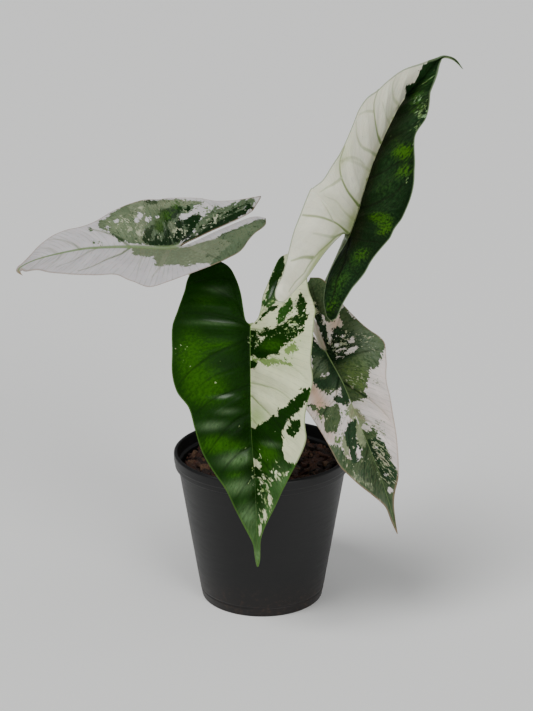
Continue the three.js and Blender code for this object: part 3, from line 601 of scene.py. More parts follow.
PATCHES["right_low"] = {
    "mid": [
        [(-0.1, 36), (-6, 36), (-10, 37), (-14, 35.5), (-14, 32), (-17, 29), (-19, 26), (-21, 23),
         (-27, 22), (-33, 20), (-37, 17), (-41, 14), (-40, 8), (-36, 0), (-32, -8), (-27, -19), (-22, -17),
         (-21, -9), (-17, -8), (-8, -9), (-4, -8), (-0.1, 0)],
        [(0.1, 0), (0.1, 34), (3, 30), (3.6, 24), (9, 25.5), (15, 24), (20, 20.5), (20, 12), (16, 3),
         (10, -2), (5, -2)],
        [(11, 33), (12, 41), (15, 45), (20, 48), (26, 47.5), (28, 44), (26, 39), (25, 36), (29, 34),
         (27, 30.5), (19, 32)],
        [(0.1, 57), (4, 59), (7, 61), (8, 68), (12, 71), (16, 70), (19, 67), (21, 63), (23, 56), (27, 54),
         (30, 51), (33, 60), (27, 75), (17, 90), (8, 101), (5, 132), (-5, 132), (-5, 104), (-9, 99),
         (-13, 92), (-13.5, 86), (-12, 79), (-13, 72), (-11, 64), (-7, 60), (-0.1, 62)],
        [(-0.1, 63), (-6, 62), (-10, 60), (-9, 56), (-4, 57), (-0.1, 54)],
        [(26, 31), (30, 31), (32, 26), (27, 26)],
        [(-12, -16), (-9, -22), (-5, -30), (-6, -44), (-14, -50), (-27, -40), (-30, -25), (-22, -19),
         (-16, -15)],
        [(4, -4), (10, -6), (16, -8), (24, -20), (24, -34), (17, -46), (10, -34), (5, -18)]],
    "dark": [
        [(1, 36), (6, 36.5), (9, 33.5), (13, 31.5), (13, 29), (9, 28), (6.5, 29), (4, 25.5), (3, 22),
         (7, 22.6), (13, 22), (18, 20), (21, 17), (21, 10), (18, 12), (14, 15), (8, 14), (5, 11), (3.4, 6),
         (4, 2), (9, 0.5), (14, -1), (12, -4), (6, -5), (0.2, -2), (0.2, 22)],
        [(1, 47), (4, 46), (10, 47.5), (15, 50.5), (17, 56), (16.5, 61), (19, 68), (16, 71), (12.5, 70),
         (12, 64), (9.5, 62), (8, 66), (7, 60), (6, 56), (3.5, 52)],
        [(-1, 62), (-5, 61), (-8, 63), (-12, 65), (-12.5, 71), (-10, 73), (-12, 76), (-11, 80), (-7, 80),
         (-5, 77), (-2, 79), (-0.2, 72)],
        [(-1, 80), (-5, 82), (-9, 82), (-13, 83), (-12.5, 89), (-8, 93), (-4, 95), (-1, 90)],
        [(-27.5, 11), (-20, 11), (-11, 11.6), (-4, 10), (-0.3, 6), (-0.3, -1), (-6, -0.6), (-12, -2),
         (-9.6, -6), (-12, -10.6), (-17, -11), (-20, -8), (-21, -4), (-26, -3), (-26, 1), (-22, 5),
         (-26.5, 8)],
        [(-1.5, -2), (-5, -3.4), (-7.6, -9), (-8.4, -16), (-9.4, -24), (-9, -34), (-5, -42), (-3, -30),
         (-2.5, -14)],
        [(-31, 9), (-27, 8), (-26, 3), (-29, 2)],
        [(2, -2), (6, -2), (13, 0), (14, -6), (9, -12), (5, -10)],
        [(8, -18), (12, -20), (18, -30), (17, -40), (13, -38), (9, -28)]],
    "pale": [
        [(-0.1, 53), (-6, 50), (-5, 45), (-3, 41), (-0.1, 40)],
        [(0.3, 36), (3, 37), (6, 40), (9, 43), (6, 45.4), (0.3, 45)],
        [(0.2, 63), (5, 65), (6.5, 59), (4, 54), (0.2, 50)],
        [(10, 92), (13, 88), (18, 83), (21, 76), (18, 78), (13, 84), (9, 90)],
        [(16, 48), (20, 56), (21, 63), (18, 67), (16, 60), (15, 53)],
        [(1, 45), (7, 49), (6, 56), (8, 63), (4, 66), (1, 60)]],
    "cream": [
        [(9.5, 63), (9.5, 70), (12.5, 70), (12, 64)],
        [(-25, 9), (-21, 8.8), (-17, 8.4), (-13, 7), (-17, 6.6), (-22, 7.2)],
        [(-10, 8), (-7, 7.4), (-5, 6.4), (-8, 6.8)],
        [(-23, 4), (-20.6, 4), (-19.6, 2), (-21, 0.4), (-24, 0.4)],
        [(-16, 4.3), (-12, 4.4), (-8, 3.2), (-12, 3)], [(-14, 0.5), (-10, 0.8), (-8, -0.2), (-11, -0.9)],
        [(-19, -2.6), (-17, -2.2), (-16.4, -3.8), (-18.2, -4.2)],
        [(-14.2, -5), (-12.8, -4.8), (-12.8, -6.6), (-13.8, -6.8)],
        [(-3, -1.6), (-6, -4.6), (-8.8, -9), (-11, -11), (-13, -8), (-10.4, -7.4), (-8, -4), (-5, -1.6)],
        [(8, 12.6), (9.6, 13.6), (12.6, 13.2), (13.6, 12.2), (11.6, 11.7)],
        [(-5, 98), (-2, 102), (-1.5, 98), (-3, 96)], [(-7, 87), (-5, 88), (-4, 86)],
        [(-6, 68), (-4, 70), (-3, 67)]]
}
TONES = ("pale", "mid", "dark", "cream")
PATCH_REACH = 6


def from_segment(x, y, start, end):
    """Distance of every point (x, y) from the straight line between start and end."""
    edge = end - start
    share = np.clip(((x - start[0]) * edge[0] + (y - start[1]) * edge[1]) / (edge @ edge), 0, 1)
    return np.hypot(x - start[0] - share * edge[0], y - start[1] - share * edge[1])


def patch_distance(outline, x, y):
    """Distance from a closed outline, above 0 inside it: the least distance from its edges, with
    the sign from how many edges lie to the right of the point."""
    corners = np.asarray(outline, float)
    nearest = np.full(x.shape, np.inf)
    inside = np.zeros(x.shape, bool)
    for start, end in zip(corners, np.roll(corners, -1, axis=0)):
        nearest = np.minimum(nearest, from_segment(x, y, start, end))
        run, rise = end - start
        level = (start[1] > y) != (end[1] > y)
        inside ^= level & (x < start[0] + (y - start[1]) * run / (rise or 1))
    return np.where(inside, nearest, -nearest)


def tone_distance(outlines, x, y):
    """Distance into the nearest patch of one tone, held within PATCH_REACH either way."""
    far = np.full(x.shape, -float(PATCH_REACH))
    for outline in outlines:
        far = np.maximum(far, patch_distance(outline, x, y))
    return np.clip(far, -PATCH_REACH, PATCH_REACH)


print("patches:", {name: sum(map(len, tones.values())) for name, tones in PATCHES.items()})

# %% [markdown]
# ## Veins, soft marks and flecks
#
# The side veins leave the midrib at a steep angle and bend towards the tip before they reach the
# margin. The strongest ones are drawn as lines on the flat leaf, each with its strength. The
# relief has a groove along them and the material a thin line.
#
# Other marks have no edge at all, so they are soft ovals: (x, y, reach across, reach along,
# strength). glow is painted light that comes through a green half; the next two are a greyer bloom,
# in places painted sheen and highlights, and a deeper green, in places painted shadow; gleam is
# where its wax shines, blush a tinge on the cream, fleck how thickly cream flecks lie on green,
# and pepper how thickly green flecks lie on cream.

# %% Vein lines
VEIN_LINES = {}
VEIN_LINES["front"] = [
    (0.9, [(0, 0), (12, -3), (28, -4.5), (43, -4)]),
    (0.8, [(0, 9), (12, 13), (26, 19), (38, 27), (46, 36)]),
    (0.5, [(0, 22), (14, 27), (28, 33), (40, 43)]), (0.8, [(0, 38), (12, 41), (24, 45), (36, 54)]),
    (0.9, [(0, 55), (10, 59), (20, 67), (30, 78)]), (0.7, [(0, 76), (10, 80), (20, 89), (24, 95)]),
    (0.5, [(0, 96), (8, 102), (14, 110)]), (0.4, [(0, 112), (5, 118), (9, 125)]),
    (0.6, [(1, -1), (6, -7), (10, -16), (15, -28), (20, -38)]),
    (0.5, [(8, -12), (18, -17), (30, -22), (38, -24)]), (0.4, [(13, -25), (22, -30), (32, -34)]),
    (0.6, [(0, 2), (-14, 4), (-28, 4), (-40, 3)]),
    (0.5, [(0, 20), (-12, 18), (-26, 22), (-38, 27), (-46, 33)]),
    (0.6, [(0, 36), (-12, 37), (-24, 39), (-35, 45), (-41, 54)]),
    (0.9, [(0, 44), (-8, 48), (-16, 53), (-24, 60), (-31, 72)]),
    (0.5, [(0, 58), (-10, 64), (-20, 72), (-28, 82)]), (0.5, [(0, 77), (-8, 83), (-16, 90), (-21, 97)]),
    (0.4, [(0, 96), (-6, 102), (-12, 110)]),
    (0.6, [(-1, -1), (-8, -7), (-13, -17), (-17, -29), (-20, -40)]),
    (0.4, [(-10, -9), (-20, -10), (-32, -10)])
]
VEIN_LINES["left"] = [
    (1, [(0, 29), (-8, 35), (-14, 43), (-19, 53), (-21, 64)]),
    (0.6, [(0, 4), (-12, 9), (-24, 13), (-34, 18)]), (0.5, [(-2, -8), (-12, -9), (-22, -12), (-29, -15)]),
    (0.4, [(0, 22), (-10, 22), (-22, 25), (-33, 28)]), (0.5, [(0, 50), (-6, 57), (-11, 66), (-14, 76)]),
    (0.4, [(0, 72), (-7, 75), (-14, 82)]), (0.3, [(0, 84), (-5, 88), (-8, 93)]),
    (0.4, [(-1, -3), (-5, -10), (-8, -24), (-9, -40), (-9, -54)]),
    (1, [(0, 29), (6, 35), (11, 44), (15, 52)]), (0.5, [(0, 60), (5, 64), (10, 71), (13, 79)]),
    (0.35, [(0, 75), (5, 79), (9, 86)]), (0.4, [(1, 5), (14, 4), (26, 6), (35, 12)]),
    (0.4, [(1, -2), (10, -8), (20, -13), (29, -16)]),
    (0.4, [(1, -3), (3, -14), (5.5, -30), (7.5, -46), (9, -60)])
]
VEIN_LINES["upright"] = [
    (1, [(0, 20), (-10, 21), (-20, 23), (-30, 28), (-36, 35), (-38, 43)]),
    (0.9, [(0, 65), (-10, 66), (-20, 70), (-28, 77), (-31, 86)]),
    (0.9, [(0, 0), (-10, -2), (-20, -6), (-32, -15), (-44, -24), (-49, -27)]),
    (0.7, [(-1, -1), (-8, -5), (-14, -14), (-18, -28), (-21, -38), (-23, -50), (-25, -62)]),
    (0.7, [(-21, -35), (-30, -40), (-38, -47)]),
    (0.45, [(0, 56), (-12, 52), (-22, 50), (-32, 52), (-38, 57)]),
    (0.35, [(0, 93), (-12, 92), (-21, 95), (-25, 100)]), (0.25, [(0, 10), (-16, 9), (-30, 11), (-42, 8)]),
    (0.25, [(0, 44), (-14, 42), (-28, 39), (-36, 37)]), (0.25, [(0, 80), (-12, 79), (-22, 83)]),
    (1, [(0, 0), (5, -8), (9, -18), (13, -30), (17, -44), (21, -56)]),
    (0.6, [(0, 18), (14, 21), (28, 28), (36, 36)]), (0.6, [(0, 38), (12, 42), (24, 49), (33, 53)]),
    (0.6, [(0, 65), (10, 68), (20, 74), (27, 82)]), (0.5, [(0, 84), (10, 88), (18, 95)]),
    (0.5, [(3, -3), (14, -5), (28, -6)]), (0.4, [(9, -18), (18, -26), (27, -31)]),
    (0.4, [(0, 102), (9, 108), (15, 113)]), (0.4, [(-30, 28), (-36, 22), (-42, 16), (-47, 8)]),
    (0.35, [(-24, -9), (-34, -8), (-44, -9)]), (0.3, [(-26, 73), (-33, 68), (-38, 62)]),
    (0.35, [(-15, -15), (-24, -22), (-34, -28)]), (0.3, [(-36, 35), (-30, 40), (-20, 43), (-10, 44)])
]
VEIN_LINES["right_low"] = [
    (0.8, [(0, 22), (-7, 29), (-14, 37), (-19, 45), (-22, 54)]),
    (0.6, [(0, 6), (-12, 9), (-24, 12), (-35, 15)]), (0.5, [(0, 44), (-7, 50), (-12, 58), (-15, 68)]),
    (0.4, [(0, 68), (-6, 76), (-9, 85)]), (0.5, [(-1, -2), (-10, -6), (-18, -12), (-25, -20)]),
    (0.6, [(-1, -2), (-4, -10), (-8, -24), (-12, -40)]),
    (0.9, [(0, 17), (6, 23), (12, 29), (20, 32), (27, 37)]), (0.6, [(0, 40), (7, 46), (13, 55), (17, 66)]),
    (0.5, [(0, 66), (8, 74), (14, 85)]), (0.5, [(0, 2), (10, 5), (20, 11), (30, 17)]),
    (0.6, [(1, -2), (4, -10), (8, -24), (13, -38)])
]
VEIN_FAR = 9.0
VEIN_PIECES = 6
VEIN_THINNING = 0.6
VEIN_FADING = 0.5


def vein_field(lines, x, y):
    """Distance from the nearest vein line and its strength. Each line is a cubic through its
    points, cut into short pieces. It thins to under half its width at its end, so distances from
    it are divided by what is left of its width."""
    nearest, strength = np.full(x.shape, VEIN_FAR), np.zeros(x.shape)
    for power, points in lines:
        last = len(points) - 1
        share = np.linspace(0, 1, VEIN_PIECES * last + 1)
        path = spline(np.arange(last + 1), points, share * last)
        for start, end, along in zip(path[:-1], path[1:], share):
            away = from_segment(x, y, start, end) / (1 - VEIN_THINNING * along)
            closer = away < nearest
            nearest = np.where(closer, away, nearest)
            strength = np.where(closer, power * (1 - VEIN_FADING * along), strength)
    return nearest, strength


print("vein lines:", {name: len(lines) for name, lines in VEIN_LINES.items()})

# %% Soft marks and flecks
MARKS = {}
MARKS["front"] = {
    "glow": [
        (39, 20, 11, 20, 0.65), (28, 42, 16, 10, 0.5), (24, 72, 12, 7, 0.8), (18, 12, 14, 5, 0.45),
        (30, -12, 12, 6, 0.36), (10, 76, 9, 5, 0.5), (12, 93, 8, 4, 0.55), (8, 112, 5, 4, 0.4),
        (-14, 79, 11, 7, 0.85), (-20, 13, 12, 5, 0.6), (24, 30, 13, 14, 0.32), (-12, 90, 9, 4, 0.4)],
    "bloom_and_sheen": [
        (0, 150, 40, 20, 0.9), (6, 121, 6, 7, 0.7), (12, 101, 9, 5, 0.8), (11, 83, 9, 4, 0.8),
        (-26, 96, 9, 10, 0.6), (-14, 118, 6, 12, 0.6), (-18, 73, 8, 1.8, 0.4), (26, 61, 8, 2.4, 0.5),
        (16, 53, 6, 1.8, 0.35), (24, 0.5, 13, 1.2, 0.4), (18, 44, 7, 1, 0.2), (24, -19, 6, 1.6, 0.3),
        (-14, -16, 4, 6, 0.5)],
    "shadow_and_deep_green": [
        (2, 12, 6, 34, 0.8), (9, -24, 10, 14, 0.7), (5, 64, 8, 8, 0.7), (30, -34, 16, 9, 0.6),
        (3, 92, 6, 6, 0.6), (20, 24, 14, 3, 0.4), (22, -3, 22, 3, 0.4), (4, 110, 4, 5, 0.4),
        (16, 66, 10, 3, 0.5)],
    "gleam": [
        (24, 0.5, 13, 1.3, 1), (23, -19, 6, 2, 0.8), (18, 44, 8, 1.2, 0.9), (15, 53, 6, 1.6, 0.8),
        (26, 61, 8, 2.6, 1), (14, 82, 9, 4, 0.7), (9, 101, 8, 4, 0.6), (5, 122, 5, 6, 0.6),
        (0, 150, 9, 12, 0.5), (-16, 73, 8, 2.5, 0.5), (-12, -20, 4, 6, 0.5)],
    "blush": [(-6, 57, 9, 8, 1), (-20, 8, 30, 8, 0.3), (-30, 20, 12, 8, 0.3), (-8, -10, 4, 8, 0.4)],
    "fleck": [
        (-6, 7, 8, 4, 0.42), (-6, 14, 6, 5, 0.34), (-18, 7, 9, 5, 0.3), (-33, 5, 8, 5, 0.42),
        (-38, 0, 6, 5, 0.42), (-6, 87, 8, 6, 0.44), (-16, 94, 10, 4, 0.44), (-9, 101, 9, 5, 0.42),
        (-12, 111, 4, 6, 0.4), (-5, 112, 5, 10, 0.34), (-8, 121, 4, 6, 0.4), (-4, 131, 3, 8, 0.44),
        (-24, 90, 6, 4, 0.4), (-14, 64, 12, 3, 0.3), (-14, 79, 12, 6, 0.2), (-36, 60, 7, 6, 0.25),
        (-28, -6, 8, 8, 0.3), (-15, -14, 4, 5, 0.36), (3, 100, 4, 6, 0.16), (35, 25, 6, 4, 0.24),
        (44, 15, 4, 6, 0.25), (20, 21, 5, 2, 0.22), (24, 36, 5, 4, 0.2)],
    "pepper": [
        (-24, 22, 14, 3, 0.38), (-37, 14, 6, 5, 0.44), (-30, -4, 10, 8, 0.34), (-9, -2, 8, 3, 0.2),
        (-4, 54, 6, 8, 0.12), (-36, 64, 5, 5, 0.3)]
}
MARKS["left"] = {
    "glow": [(23, 2, 5, 10, 0.9), (15, 10, 5, 5, 0.8), (28, -14, 5, 5, 0.6)],
    "bloom_and_sheen": [(26, 14, 12, 8, 0.4), (-14, -42, 10, 18, 0.3), (16, 36, 14, 12, 0.55), (32, -8, 4, 14, 0.5)],
    "gleam": [(10, 4, 14, 20, 0.4)],
    "shadow_and_deep_green": [
        (4, -3, 5, 6, 0.7), (13, -9, 6, 5, 0.4), (16, 8, 10, 10, 0.3), (8, 2, 7, 3, 0.5),
        (3, -24, 3, 24, 0.4)],
    "blush": [(20, 24, 14, 5, 0.5), (-8, 27, 7, 3, 0.3), (32, 20, 6, 8, 0.4)],
    "fleck": [
        (20, 38, 9, 9, 0.32), (12, 30, 10, 8, 0.28), (9, 11, 8, 8, 0.34), (13, -4, 9, 8, 0.34),
        (26, 23, 9, 3.5, 0.5), (10, 23, 8, 3, 0.5), (31, 4, 5, 14, 0.34), (6, -25, 4, 14, 0.36),
        (9, -44, 5, 16, 0.34), (8, -9, 6, 6, 0.36), (20, -22, 6, 5, 0.5), (-25, 2, 4, 10, 0.2)],
    "pepper": [
        (14, 52, 6, 4, 0.3), (5, 46, 3, 8, 0.4), (20, 23, 14, 4, 0.45), (28, 44, 4, 6, 0.2),
        (18, -25, 8, 8, 0.4), (14, -40, 4, 14, 0.34), (32, 12, 6, 12, 0.4)]
}
MARKS["upright"] = {
    "glow": [
        (25, 56, 9, 6, 0.9), (31, 43, 7, 5, 0.7), (22, 12, 9, 4, 0.8), (29, 5, 6, 7, 0.7),
        (21, -18, 8, 8, 0.55), (18, -38, 7, 9, 0.55), (19, 92, 8, 8, 0.4), (20, 32, 12, 8, 0.3),
        (22, -55, 7, 8, 0.5), (12, 104, 8, 7, 0.5), (7, 120, 5, 9, 0.4), (14, 66, 8, 6, 0.3)],
    "bloom_and_sheen": [
        (24, 78, 10, 14, 0.6), (28, 26, 12, 26, 0.5), (18, -36, 12, 26, 0.6), (14, 104, 9, 9, 0.7),
        (14, 44, 10, 24, 0.45), (6, 122, 8, 10, 0.6), (-5, 117, 7, 14, 0.9)],
    "gleam": [(20, 92, 6, 12, 0.6), (24, 20, 12, 40, 0.2)],
    "shadow_and_deep_green": [(3, 50, 6, 50, 0.75), (7, -4, 5, 16, 0.8), (12, 70, 10, 8, 0.4), (11, -30, 2.5, 22, 0.5)],
    "blush": [
        (-3, 6, 9, 12, 0.75), (-16, -32, 4, 26, 0.9), (-2, 40, 6, 34, 0.5), (-30, 2, 16, 12, 0.2),
        (-35, 38, 6, 9, 0.4), (-4, 84, 8, 10, 0.3)],
    "fleck": [
        (17, 102, 8, 7, 0.42), (21, 92, 7, 8, 0.38), (28, 80, 4, 12, 0.44), (9, 119, 5, 8, 0.36),
        (26, 60, 5, 12, 0.16), (36, 34, 4, 10, 0.2), (26, -20, 4, 10, 0.18)],
    "pepper": [(-8, 104, 4, 4, 0.2)]
}
MARKS["right_low"] = {
    "glow": [
        (-11, 21, 11, 13, 0.9), (-24, 14, 8, 6, 0.4), (12, 6, 5, 5, 0.4), (19, 42, 5, 5, 0.3),
        (12, 22, 8, 3, 0.3)],
    "bloom_and_sheen": [
        (6, 102, 10, 14, 0.4), (-31, 6, 9, 16, 0.6), (16, 82, 7, 8, 0.45), (26, 58, 4, 8, 0.5),
        (5, 22, 6, 6, 0.4), (-24, 12, 12, 10, 0.3), (4, 118, 8, 12, 0.3), (10, 6, 5, 5, 0.9)],
    "gleam": [(0, 60, 30, 60, 0.3)],
    "shadow_and_deep_green": [
        (3, 10, 4, 14, 0.5), (8, 78, 10, 10, 0.4), (5, 96, 8, 9, 0.25), (-6, -24, 5, 20, 0.9),
        (6, -20, 6, 20, 0.6), (-30, -24, 8, 12, 0.25), (8, 88, 9, 12, 0.35), (20, 60, 6, 8, 0.2),
        (-13, 7, 12, 6, 0.8), (-14, -4, 9, 7, 0.9), (-4, 1, 5, 7, 0.7), (14, 18, 7, 3, 0.4)],
    "blush": [
        (24, 28, 7, 9, 0.9), (20, 66, 5, 5, 0.5), (-16, -13, 8, 5, 0.7), (24, 16, 6, 6, 0.7),
        (26, 48, 5, 7, 0.5), (-22, 50, 6, 14, 0.2)],
    "fleck": [
        (-12, 20, 9, 7, 0.3), (-6, 23, 4, 5, 0.3), (-16, 28, 8, 6, 0.2), (-30, 7, 9, 10, 0.4),
        (-14, 3, 11, 6, 0.44), (-12, -4, 9, 4, 0.46), (15, 85, 5, 7, 0.12), (-7, 88, 7, 8, 0.56),
        (-7, 73, 7, 9, 0.54), (10, 66, 5, 8, 0.3), (4, 108, 5, 10, 0.2), (-6, 65, 8, 7, 0.44),
        (-7, -26, 4, 14, 0.5), (8, -20, 8, 16, 0.35), (11, 24, 8, 4, 0.3), (21, 76, 6, 8, 0.4),
        (4, 34, 5, 5, 0.25), (19, 40, 7, 8, 0.3), (24, 58, 5, 8, 0.36), (-4, 46, 4, 6, 0.3)],
    "pepper": [
        (-4, 48, 4, 8, 0.5), (-9, 58, 6, 5, 0.45), (24, 30, 6, 8, 0.3), (26, 56, 5, 8, 0.4),
        (5, 58, 5, 6, 0.5), (20, 56, 5, 8, 0.44), (-24, 30, 6, 4, 0.3), (-13, 66, 3, 14, 0.36),
        (12, 40, 8, 6, 0.42), (-22, 22, 12, 4, 0.36), (5, 42, 4, 8, 0.5), (22, 36, 8, 8, 0.4)]
}


def soft_field(ovals, x, y):
    """The sum of soft ovals, each the product of a bell curve across and one along."""
    total = sum(strength * bell(x - cx, rx) * bell(y - cy, ry) for cx, cy, rx, ry, strength in ovals)
    return np.clip(total, 0, 1)


print("soft marks:", {name: sum(map(len, marks.values())) for name, marks in MARKS.items()})

# %% [markdown]
# ## Build the blades
#
# Each half is a grid of rows and columns, once for the upper face and once for the lower. The
# two halves share the points of the midrib, and a row of points between the two faces rounds
# the margin. Rows lie less than a millimetre apart, closest at the midrib and the margin.

# %% Rows, columns and what is known of each point
ROW_STEP = 0.78
COLUMN_COUNT = 66
COLUMN_EASE = 0.55
SINUS_RIM_WHOLE = -4
LEAST_LENGTH = 1e-3
LEAST_OFFSET = 1e-6
# The vectors and numbers that the mesh stores, each with what its parts are.
STORED = {"leaf": ("x", "y", "s"), "vein": ("rib", "vein", "strength"), "tone": ("pale", "mid", "dark"),
          "skin": ("cream", "rim", "under"), "mark": ("fleck", "pepper", "blush"),
          "light": ("glow", "bloom_and_sheen", "shadow_and_deep_green"), "gap": ("gap",), "gleam": ("gleam",)}


def row_stations(leaf):
    """The rows of a blade as vein counts s, the same for both halves, with a row on each vein."""
    reach = np.maximum(*[np.abs(np.diff(leaf[half]["ribs"], axis=0)).max(axis=1)
                         for half in SIDES.values()])
    steps = np.ceil(reach / ROW_STEP).astype(int)
    rows = [k + np.arange(n) / n for k, n in enumerate(steps)]
    return np.concatenate(rows + [[len(steps)]])


def half_cells(name, side, s, t):
    """What is known of every point of one half: where it lies flat, how far it is from veins,
    ribs and edges, in mm, and how deep it lies in each tone's patches. span is the length of its
    row, and gap the distance between side veins there: the area that one step of s and t spans,
    divided by its length outwards."""
    a, y, inner, width = flat_rows(LEAVES[name][SIDES[side]], s, t)
    x = side * a
    cell = dict(a=a, x=x, y=y, inner=inner, width=width, s=s[:, None] + 0 * a, t=t + 0 * a)
    cell["span"] = (a[:, -1:] - a[:, :1]) + 0 * a
    along = np.stack([np.gradient(x, s, axis=0), np.gradient(y, s, axis=0)])
    outwards = np.stack([np.gradient(x, t, axis=1), np.gradient(y, t, axis=1)])
    length = np.maximum(np.hypot(*outwards), LEAST_LENGTH)
    cell["gap"] = np.abs(along[0] * outwards[1] - along[1] * outwards[0]) / length
    cell["vein"], cell["strength"] = vein_field(VEIN_LINES[name], x, y)
    cell["rib"] = rib_distance(cell)
    sinus = cell["t"] * cell["span"] + PATCH_REACH * (1 - smooth(0, SINUS_RIM_WHOLE, inner))
    cell["rim"] = np.minimum((1 - cell["t"]) * cell["span"], np.where(inner < 0, sinus, PATCH_REACH))
    for tone in TONES:
        cell[tone] = tone_distance(PATCHES[name][tone], x, y)
    for mark, ovals in MARKS[name].items():
        cell[mark] = soft_field(ovals, x, y)
    return cell


# %% Blade builder
def edge_points(upper, lower, inside, depth):
    """Points that round an edge: midway between the faces, pushed out by half the thickness."""
    outwards = unit((upper - inside) + LEAST_OFFSET)
    return (upper + lower) / 2 + outwards * (depth / 2)[:, None]


def half_layers(name, side, s, t, apex):
    """The grids of points of one half, each with what is known of its points: both faces, the row
    that rounds the margin and the row that rounds the edge beside the sinus, down to row apex,
    where the midrib starts. under is 0 on the upper face and 1 on the lower."""
    leaf = LEAVES[name]
    cell = half_cells(name, side, s, t)
    sheet, up = bend(leaf, side, cell["a"], cell["y"])
    up[apex:, 0] = midrib_frame(leaf, cell["y"][apex:, 0])[1]
    upper = sheet + up * relief(leaf, leaf[SIDES[side]], cell)[..., None]
    depth = thickness(cell)
    lower = upper - up * depth[..., None]
    margin = edge_points(upper[:, -1], lower[:, -1], upper[:, -3], depth[:, -1])
    sinus = edge_points(upper[:, 0], lower[:, 0], upper[:, 2], depth[:, 0])
    sinus[apex] = (upper[apex, 0] + lower[apex, 0]) / 2
    every, last, first = slice(None), slice(-1, None), slice(0, 1)
    for title, place, columns, under in (("upper", upper, every, 0), ("lower", lower, every, 1),
                                         ("margin", margin[:, None], last, 0.5),
                                         ("sinus", sinus[:, None], first, 0.5)):
        known = {key: value[:, columns] for key, value in cell.items()}
        known["under"] = np.full(place.shape[:2], float(under))
        yield title, place, known


def share_points(index, apex):
    """Lets the grids meet: the lobe tips, the drip tip, the midrib and the ends of the two rows
    that round the edges get one number wherever they are one point."""
    for side in SIDES:
        for layer in ("upper", "lower"):
            index[side, layer][0] = index[side, layer][0, 0]
            index[side, layer][-1] = index[-1, layer][-1, 0]
            index[side, layer][apex:, 0] = index[-1, layer][apex:, 0]
        index[side, "sinus"][0] = index[side, "margin"][0]
        index[side, "sinus"][apex] = index[-1, "sinus"][apex]
        index[side, "margin"][-1] = index[-1, "margin"][-1]


def half_faces(index, side, apex):
    """The quads of one half: both faces, the margin and the edge beside the sinus."""
    upper, lower, margin, sinus = (index[side, layer] for layer in ("upper", "lower", "margin", "sinus"))
    lobe = slice(0, apex + 1)
    round_margin = np.concatenate([upper[:, -1:], margin, lower[:, -1:]], axis=1)
    round_sinus = np.concatenate([lower[lobe, :1], sinus[lobe], upper[lobe, :1]], axis=1)
    sheets = [grid_quads(upper), turned_over(grid_quads(lower)),
              grid_quads(round_margin), grid_quads(round_sinus)]
    return turned_over(np.concatenate(sheets), side < 0)


def build_blade(name):
    """Both halves of a blade as one closed mesh, with its leaf coordinates and distances stored
    on its points for the material. Columns lie closest at the midrib and the margin."""
    leaf = LEAVES[name]
    s = row_stations(leaf)
    u = np.linspace(0, 1, COLUMN_COUNT)
    t = u - COLUMN_EASE * np.sin(2 * np.pi * u) / (2 * np.pi)
    first_vein = int(np.argmax(np.array(leaf["left"]["ribs"])[:, 0] >= 0))
    apex = int(np.flatnonzero(s == first_vein)[0])
    layers = {(side, title): (place, known) for side in SIDES
              for title, place, known in half_layers(name, side, s, t, apex)}
    points, numbers = number_grids([place for place, _ in layers.values()])
    index = dict(zip(layers, numbers))
    share_points(index, apex)
    faces = np.concatenate([half_faces(index, side, apex) for side in SIDES])
    values = {}
    for title, parts in STORED.items():
        columns = [np.concatenate([known[part].ravel() for _, known in layers.values()]) for part in parts]
        values[title] = np.stack(columns, axis=1).squeeze()
    return make_piece(f"leaf_blade_{name}", points, whole_faces(faces), values)


# %% Build the four blades
blades = {name: build_blade(name) for name in LEAVES}

# %% [markdown]
# ## The leaf stalks
#
# Each blade stands on its own fleshy stalk. The stalks leave the stem close together, where each
# is broad and has two low lips along its inner side, the remains of the sheath that wrapped the
# next leaf. Higher up the stalk is a plain tapering rod with a shallow channel. A curve object
# with a bevel would give a round rod only, so the section is carried along the path as a grid.

# %% A path through points
PATH_STEPS = 60


def smooth_path(points, count):
    """An evenly spaced curve through the points. Knots lie the square root of their distance
    apart, which keeps the curve from looping, and slopes blend the neighbouring steps."""
    points = np.asarray(points, float)
    ends = np.array([2 * points[0] - points[1], *points, 2 * points[-1] - points[-2]])
    step = np.diff(ends, axis=0)
    gap = np.sqrt(np.linalg.norm(step, axis=1))[:, None]
    slope = step[:-1] / gap[:-1] - (ends[2:] - ends[:-2]) / (gap[:-1] + gap[1:]) + step[1:] / gap[1:]
    u = (np.arange(PATH_STEPS) / PATH_STEPS)[:, None, None]
    dense = cubic(u, gap[1:-1], points[:-1], slope[:-1], points[1:], slope[1:])
    dense = np.concatenate([dense.transpose(1, 0, 2).reshape(-1, 3), points[-1:]])
    along = distances(dense)
    even = np.linspace(0, along[-1], count)
    return np.stack([np.interp(even, along, dense[:, k]) for k in range(3)], axis=1), even


# %% Stalk path
STEM_TOP = 113
SOCKET_RING = 6.4
SOCKET_DEPTH = 18
SOCKET_GAP = 0.3
BLADE_GAP = 0.4
STALK_END_RUN = 5
STALK_ROWS = 150
STALKS = {
    "front": (-90, [(-2, -15, 150), (-5, -30, 187), (-7, -45, 204)]),
    "right_low": (0, [(12, -3, 150), (15, -5, 180), (20, -12, 203), (29.5, -25, 207)]),
    "upright": (90, [(16, 8, 165), (40, 8, 212), (52, -4, 245)]),
    "left": (180, [(-17, -1, 168), (-36, -12, 216), (-49, -28, 242)]),
}


def stalk_path(name):
    """Points up the stalk and their distances along it. It rises straight from its socket, passes
    the points that its table gives, and meets the keel under its blade square."""
    turn, way = STALKS[name]
    foot = SOCKET_RING * np.array([np.cos(np.radians(turn)), np.sin(np.radians(turn))])
    rise = [(*foot, z) for z in (STEM_TOP - SOCKET_DEPTH + SOCKET_GAP, STEM_TOP - SOCKET_DEPTH / 2,
                                 STEM_TOP + 2)]
    place, face, _ = midrib_frame(LEAVES[name], np.array(0.0))
    under = BLADE_THICKNESS + MIDRIB_KEEL + BLADE_GAP
    return smooth_path([*rise, *way, place - face * (under + STALK_END_RUN), place - face * under],
                       STALK_ROWS)


